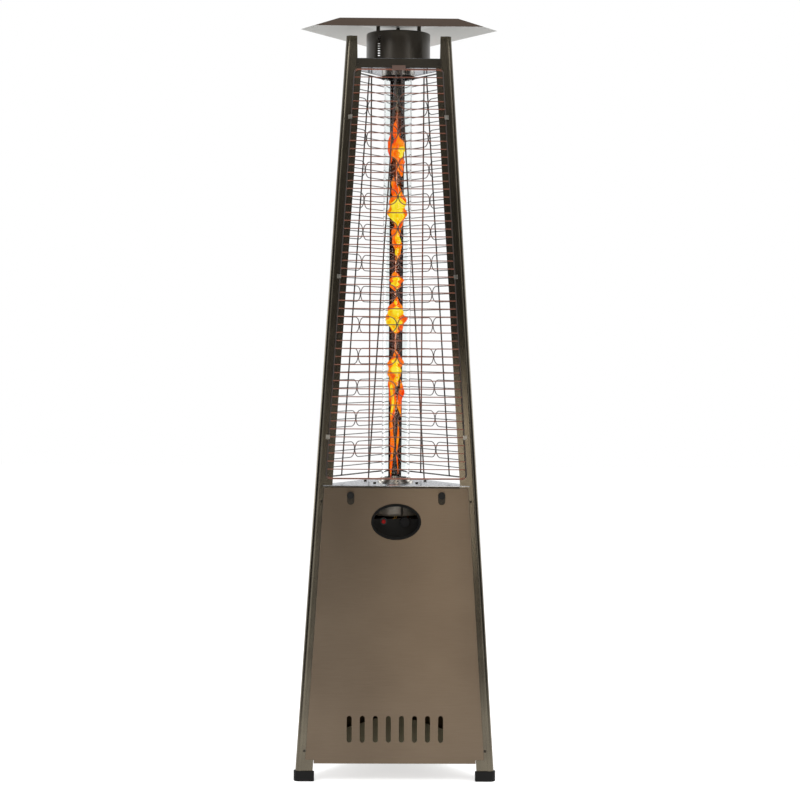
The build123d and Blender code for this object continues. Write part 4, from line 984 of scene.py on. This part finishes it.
@dataclass
class Studio:
    """White floor and background, soft lamps, dark cards and the camera at the photo's angle.

    Attributes:
        floor_side: Side of the floor, in metres.
        floor_grey: How much light the floor gives back.
        floor_glow: What the floor adds for rays that show it, so that it looks white.
        ambient: Strength of the white world as a light.
        board_colour: Colour of the dark cards, sRGB hex.
        board_roughness: Roughness of the dark cards.
        camera_distance: Distance of the camera from the burner's axis, in metres.
        camera_height: Height of the camera, in metres.
        camera_turn: Angle of the camera about the heater, in degrees.
        axis_pixel: Column of the burner's axis in the photograph.
        horizon_pixel: Row of the horizon in the photograph.
        focal_pixels: Focal length, in the photograph's pixels.
        roll: Lean of the camera, in degrees.
        sensor_mm: Width of the sensor.
        lamps: The lamps. The last one shows the floor of the closed base behind the vents.
        cards: The dark cards. Those in front leave gaps, which light one side of the panel and
            the foot of the left leg.
    """

    floor_side: float = 30.0
    floor_grey: float = 0.86
    floor_glow: float = 0.6
    ambient: float = 0.55
    board_colour: str = "#333333"
    board_roughness: float = 0.9
    camera_distance: float = 6.31
    camera_height: float = 1.35
    camera_turn: float = -1.0
    axis_pixel: float = 396.37
    horizon_pixel: float = 340.9
    focal_pixels: float = 2000.0
    roll: float = 0.379
    sensor_mm: float = 36.0
    lamps: tuple[SoftLamp, ...] = (
        SoftLamp("key_softbox", (0.8, -5.6, 1.7), (1.6, 1.6), 45.0, "#fff0dc"),
        SoftLamp("left_softbox", (-2.8, -3.6, 4.4), (3.0, 3.0), 90.0),
        SoftLamp("right_softbox", (3.4, -2.6, 3.0), (2.6, 2.6), 60.0),
        SoftLamp("top_softbox", (0.2, 0.6, 6.0), (3.0, 3.0), 50.0),
        SoftLamp("rim_strip_left", (-2.6, 1.3, 1.3), (1.4, 1.4), 16.0),
        SoftLamp("rim_strip_right", (2.6, 1.3, 1.3), (1.4, 1.4), 14.0),
        SoftLamp("base_fill", (0.0, -0.02, 0.7), (0.2, 0.2), 2.0, "#e8f4ea", (0.0, 0.0, -1.0)),
    )
    cards: tuple[DarkCard, ...] = (
        DarkCard("side_card_left", (-1.9, -1.25, 1.45), (1.2, 1.44), 90.0),
        DarkCard("side_card_right", (1.9, -1.25, 1.45), (1.2, 1.44), 90.0),
        DarkCard("front_card_left", (-0.56, -2.5, 2.02), (0.64, 0.87)),
        DarkCard("front_card_left_low", (-0.17, -2.5, 0.58), (0.25, 0.57)),
        DarkCard("front_card_right", (0.8, -2.5, 1.45), (0.4, 1.44)),
        DarkCard("front_card_low", (0.24, -2.5, 0.3), (0.16, 0.29)),
        DarkCard("front_card_high", (0.24, -2.5, 2.07), (0.16, 0.82)),
    )

    def build(self) -> None:
        """Build the studio."""
        scene = bpy.context.scene
        scene.view_settings.view_transform = "Standard"
        self.floor()
        self.background(scene)
        for lamp in self.lamps:
            lamp.build()
        board = self.board()
        for card in self.cards:
            card.build(board)
        self.camera(scene)

    def floor(self) -> None:
        """Lay a white floor that shows white to the camera and keeps a faint shadow."""
        build = bmesh.new()
        bmesh.ops.create_grid(build, x_segments=2, y_segments=2, size=self.floor_side / 2)
        floor = mesh_piece("studio_floor", build)
        material = bpy.data.materials.new("white_paper_floor")
        material.use_nodes = True
        tree = material.node_tree
        tree.nodes.clear()
        matt = add_node(tree, "ShaderNodeBsdfDiffuse", {"Color": (*[self.floor_grey] * 3, 1.0)})
        glow = add_node(tree, "ShaderNodeEmission", {"Color": (1.0, 1.0, 1.0, 1.0)})
        add_node(
            tree, "ShaderNodeMath", {0: self.seen(tree), 1: self.floor_glow},
            glow.inputs["Strength"], operation="MULTIPLY")
        both = add_node(tree, "ShaderNodeAddShader", {0: matt.outputs[0], 1: glow.outputs[0]})
        add_node(tree, "ShaderNodeOutputMaterial", {"Surface": both.outputs[0]})
        floor.data.materials.append(material)
        log.info("studio floor")

    def seen(self, tree: Tree) -> Socket:
        """Tell rays that show a surface from those that only light by it.

        Args:
            tree: Node tree that asks.

        Returns:
            Output that is 1 for camera, glossy and transmission rays.
        """
        path = add_node(tree, "ShaderNodeLightPath")
        first = add_node(tree, "ShaderNodeMath", {
            0: path.outputs["Is Camera Ray"], 1: path.outputs["Is Glossy Ray"],
        }, operation="MAXIMUM").outputs[0]
        return add_node(tree, "ShaderNodeMath", {
            0: first, 1: path.outputs["Is Transmission Ray"],
        }, operation="MAXIMUM").outputs[0]

    def background(self, scene: bpy.types.Scene) -> None:
        """Set a world that shows white and lights plainly.

        Args:
            scene: Scene that takes the world.
        """
        world = bpy.data.worlds.new("white_studio")
        world.use_nodes = True
        tree = world.node_tree
        tree.nodes.clear()
        level = add_node(tree, "ShaderNodeMapRange", {
            "Value": self.seen(tree), "To Min": self.ambient, "To Max": 1.0,
        }).outputs[0]
        sky = add_node(tree, "ShaderNodeBackground", {
            "Color": (1.0, 1.0, 1.0, 1.0), "Strength": level,
        })
        add_node(tree, "ShaderNodeOutputWorld", {"Surface": sky.outputs[0]})
        scene.world = world

    def board(self) -> Material:
        """Make the dark board of the cards.

        Returns:
            The material.
        """
        material = bpy.data.materials.new("dark_foam_board")
        material.use_nodes = True
        shader = material.node_tree.nodes["Principled BSDF"]
        shader.inputs["Base Color"].default_value = linear(self.board_colour)
        shader.inputs["Roughness"].default_value = self.board_roughness
        return material

    def camera(self, scene: bpy.types.Scene) -> None:
        """Set a level camera, a little left of the heater's middle, framed as the photograph is.

        Args:
            scene: Scene that takes the camera.
        """
        lens = bpy.data.cameras.new("photo_camera")
        lens.sensor_width = self.sensor_mm
        lens.lens = self.focal_pixels / PHOTO_SIDE * self.sensor_mm
        lens.shift_y = (self.horizon_pixel - PHOTO_SIDE / 2) / PHOTO_SIDE
        camera = bpy.data.objects.new("photo_camera", lens)
        turn = radians(self.camera_turn)
        place = Vector((
            self.camera_distance * sin(turn),
            BURNER_AXIS_Y - self.camera_distance * cos(turn),
            self.camera_height,
        ))
        aside = atan2(self.axis_pixel - PHOTO_SIDE / 2, self.focal_pixels)
        heading = Matrix.Rotation(turn + aside, 4, "Z")
        upright = Matrix.Rotation(radians(90), 4, "X")
        lean = Matrix.Rotation(radians(self.roll), 4, "Z")
        camera.matrix_world = Matrix.Translation(place) @ heading @ upright @ lean
        scene.collection.objects.link(camera)
        scene.camera = camera


def main() -> None:
    """Dress the frame, add the pieces that only the picture has, and light the studio."""
    logging.basicConfig(level=logging.INFO, format="%(name)s: %(message)s")
    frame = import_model()
    finishes = Finishes()
    finishes.build()
    CadDressing(frame, finishes).build()
    TubeFlame(finishes).build()
    Studio().build()


if __name__ == "__main__":
    main()
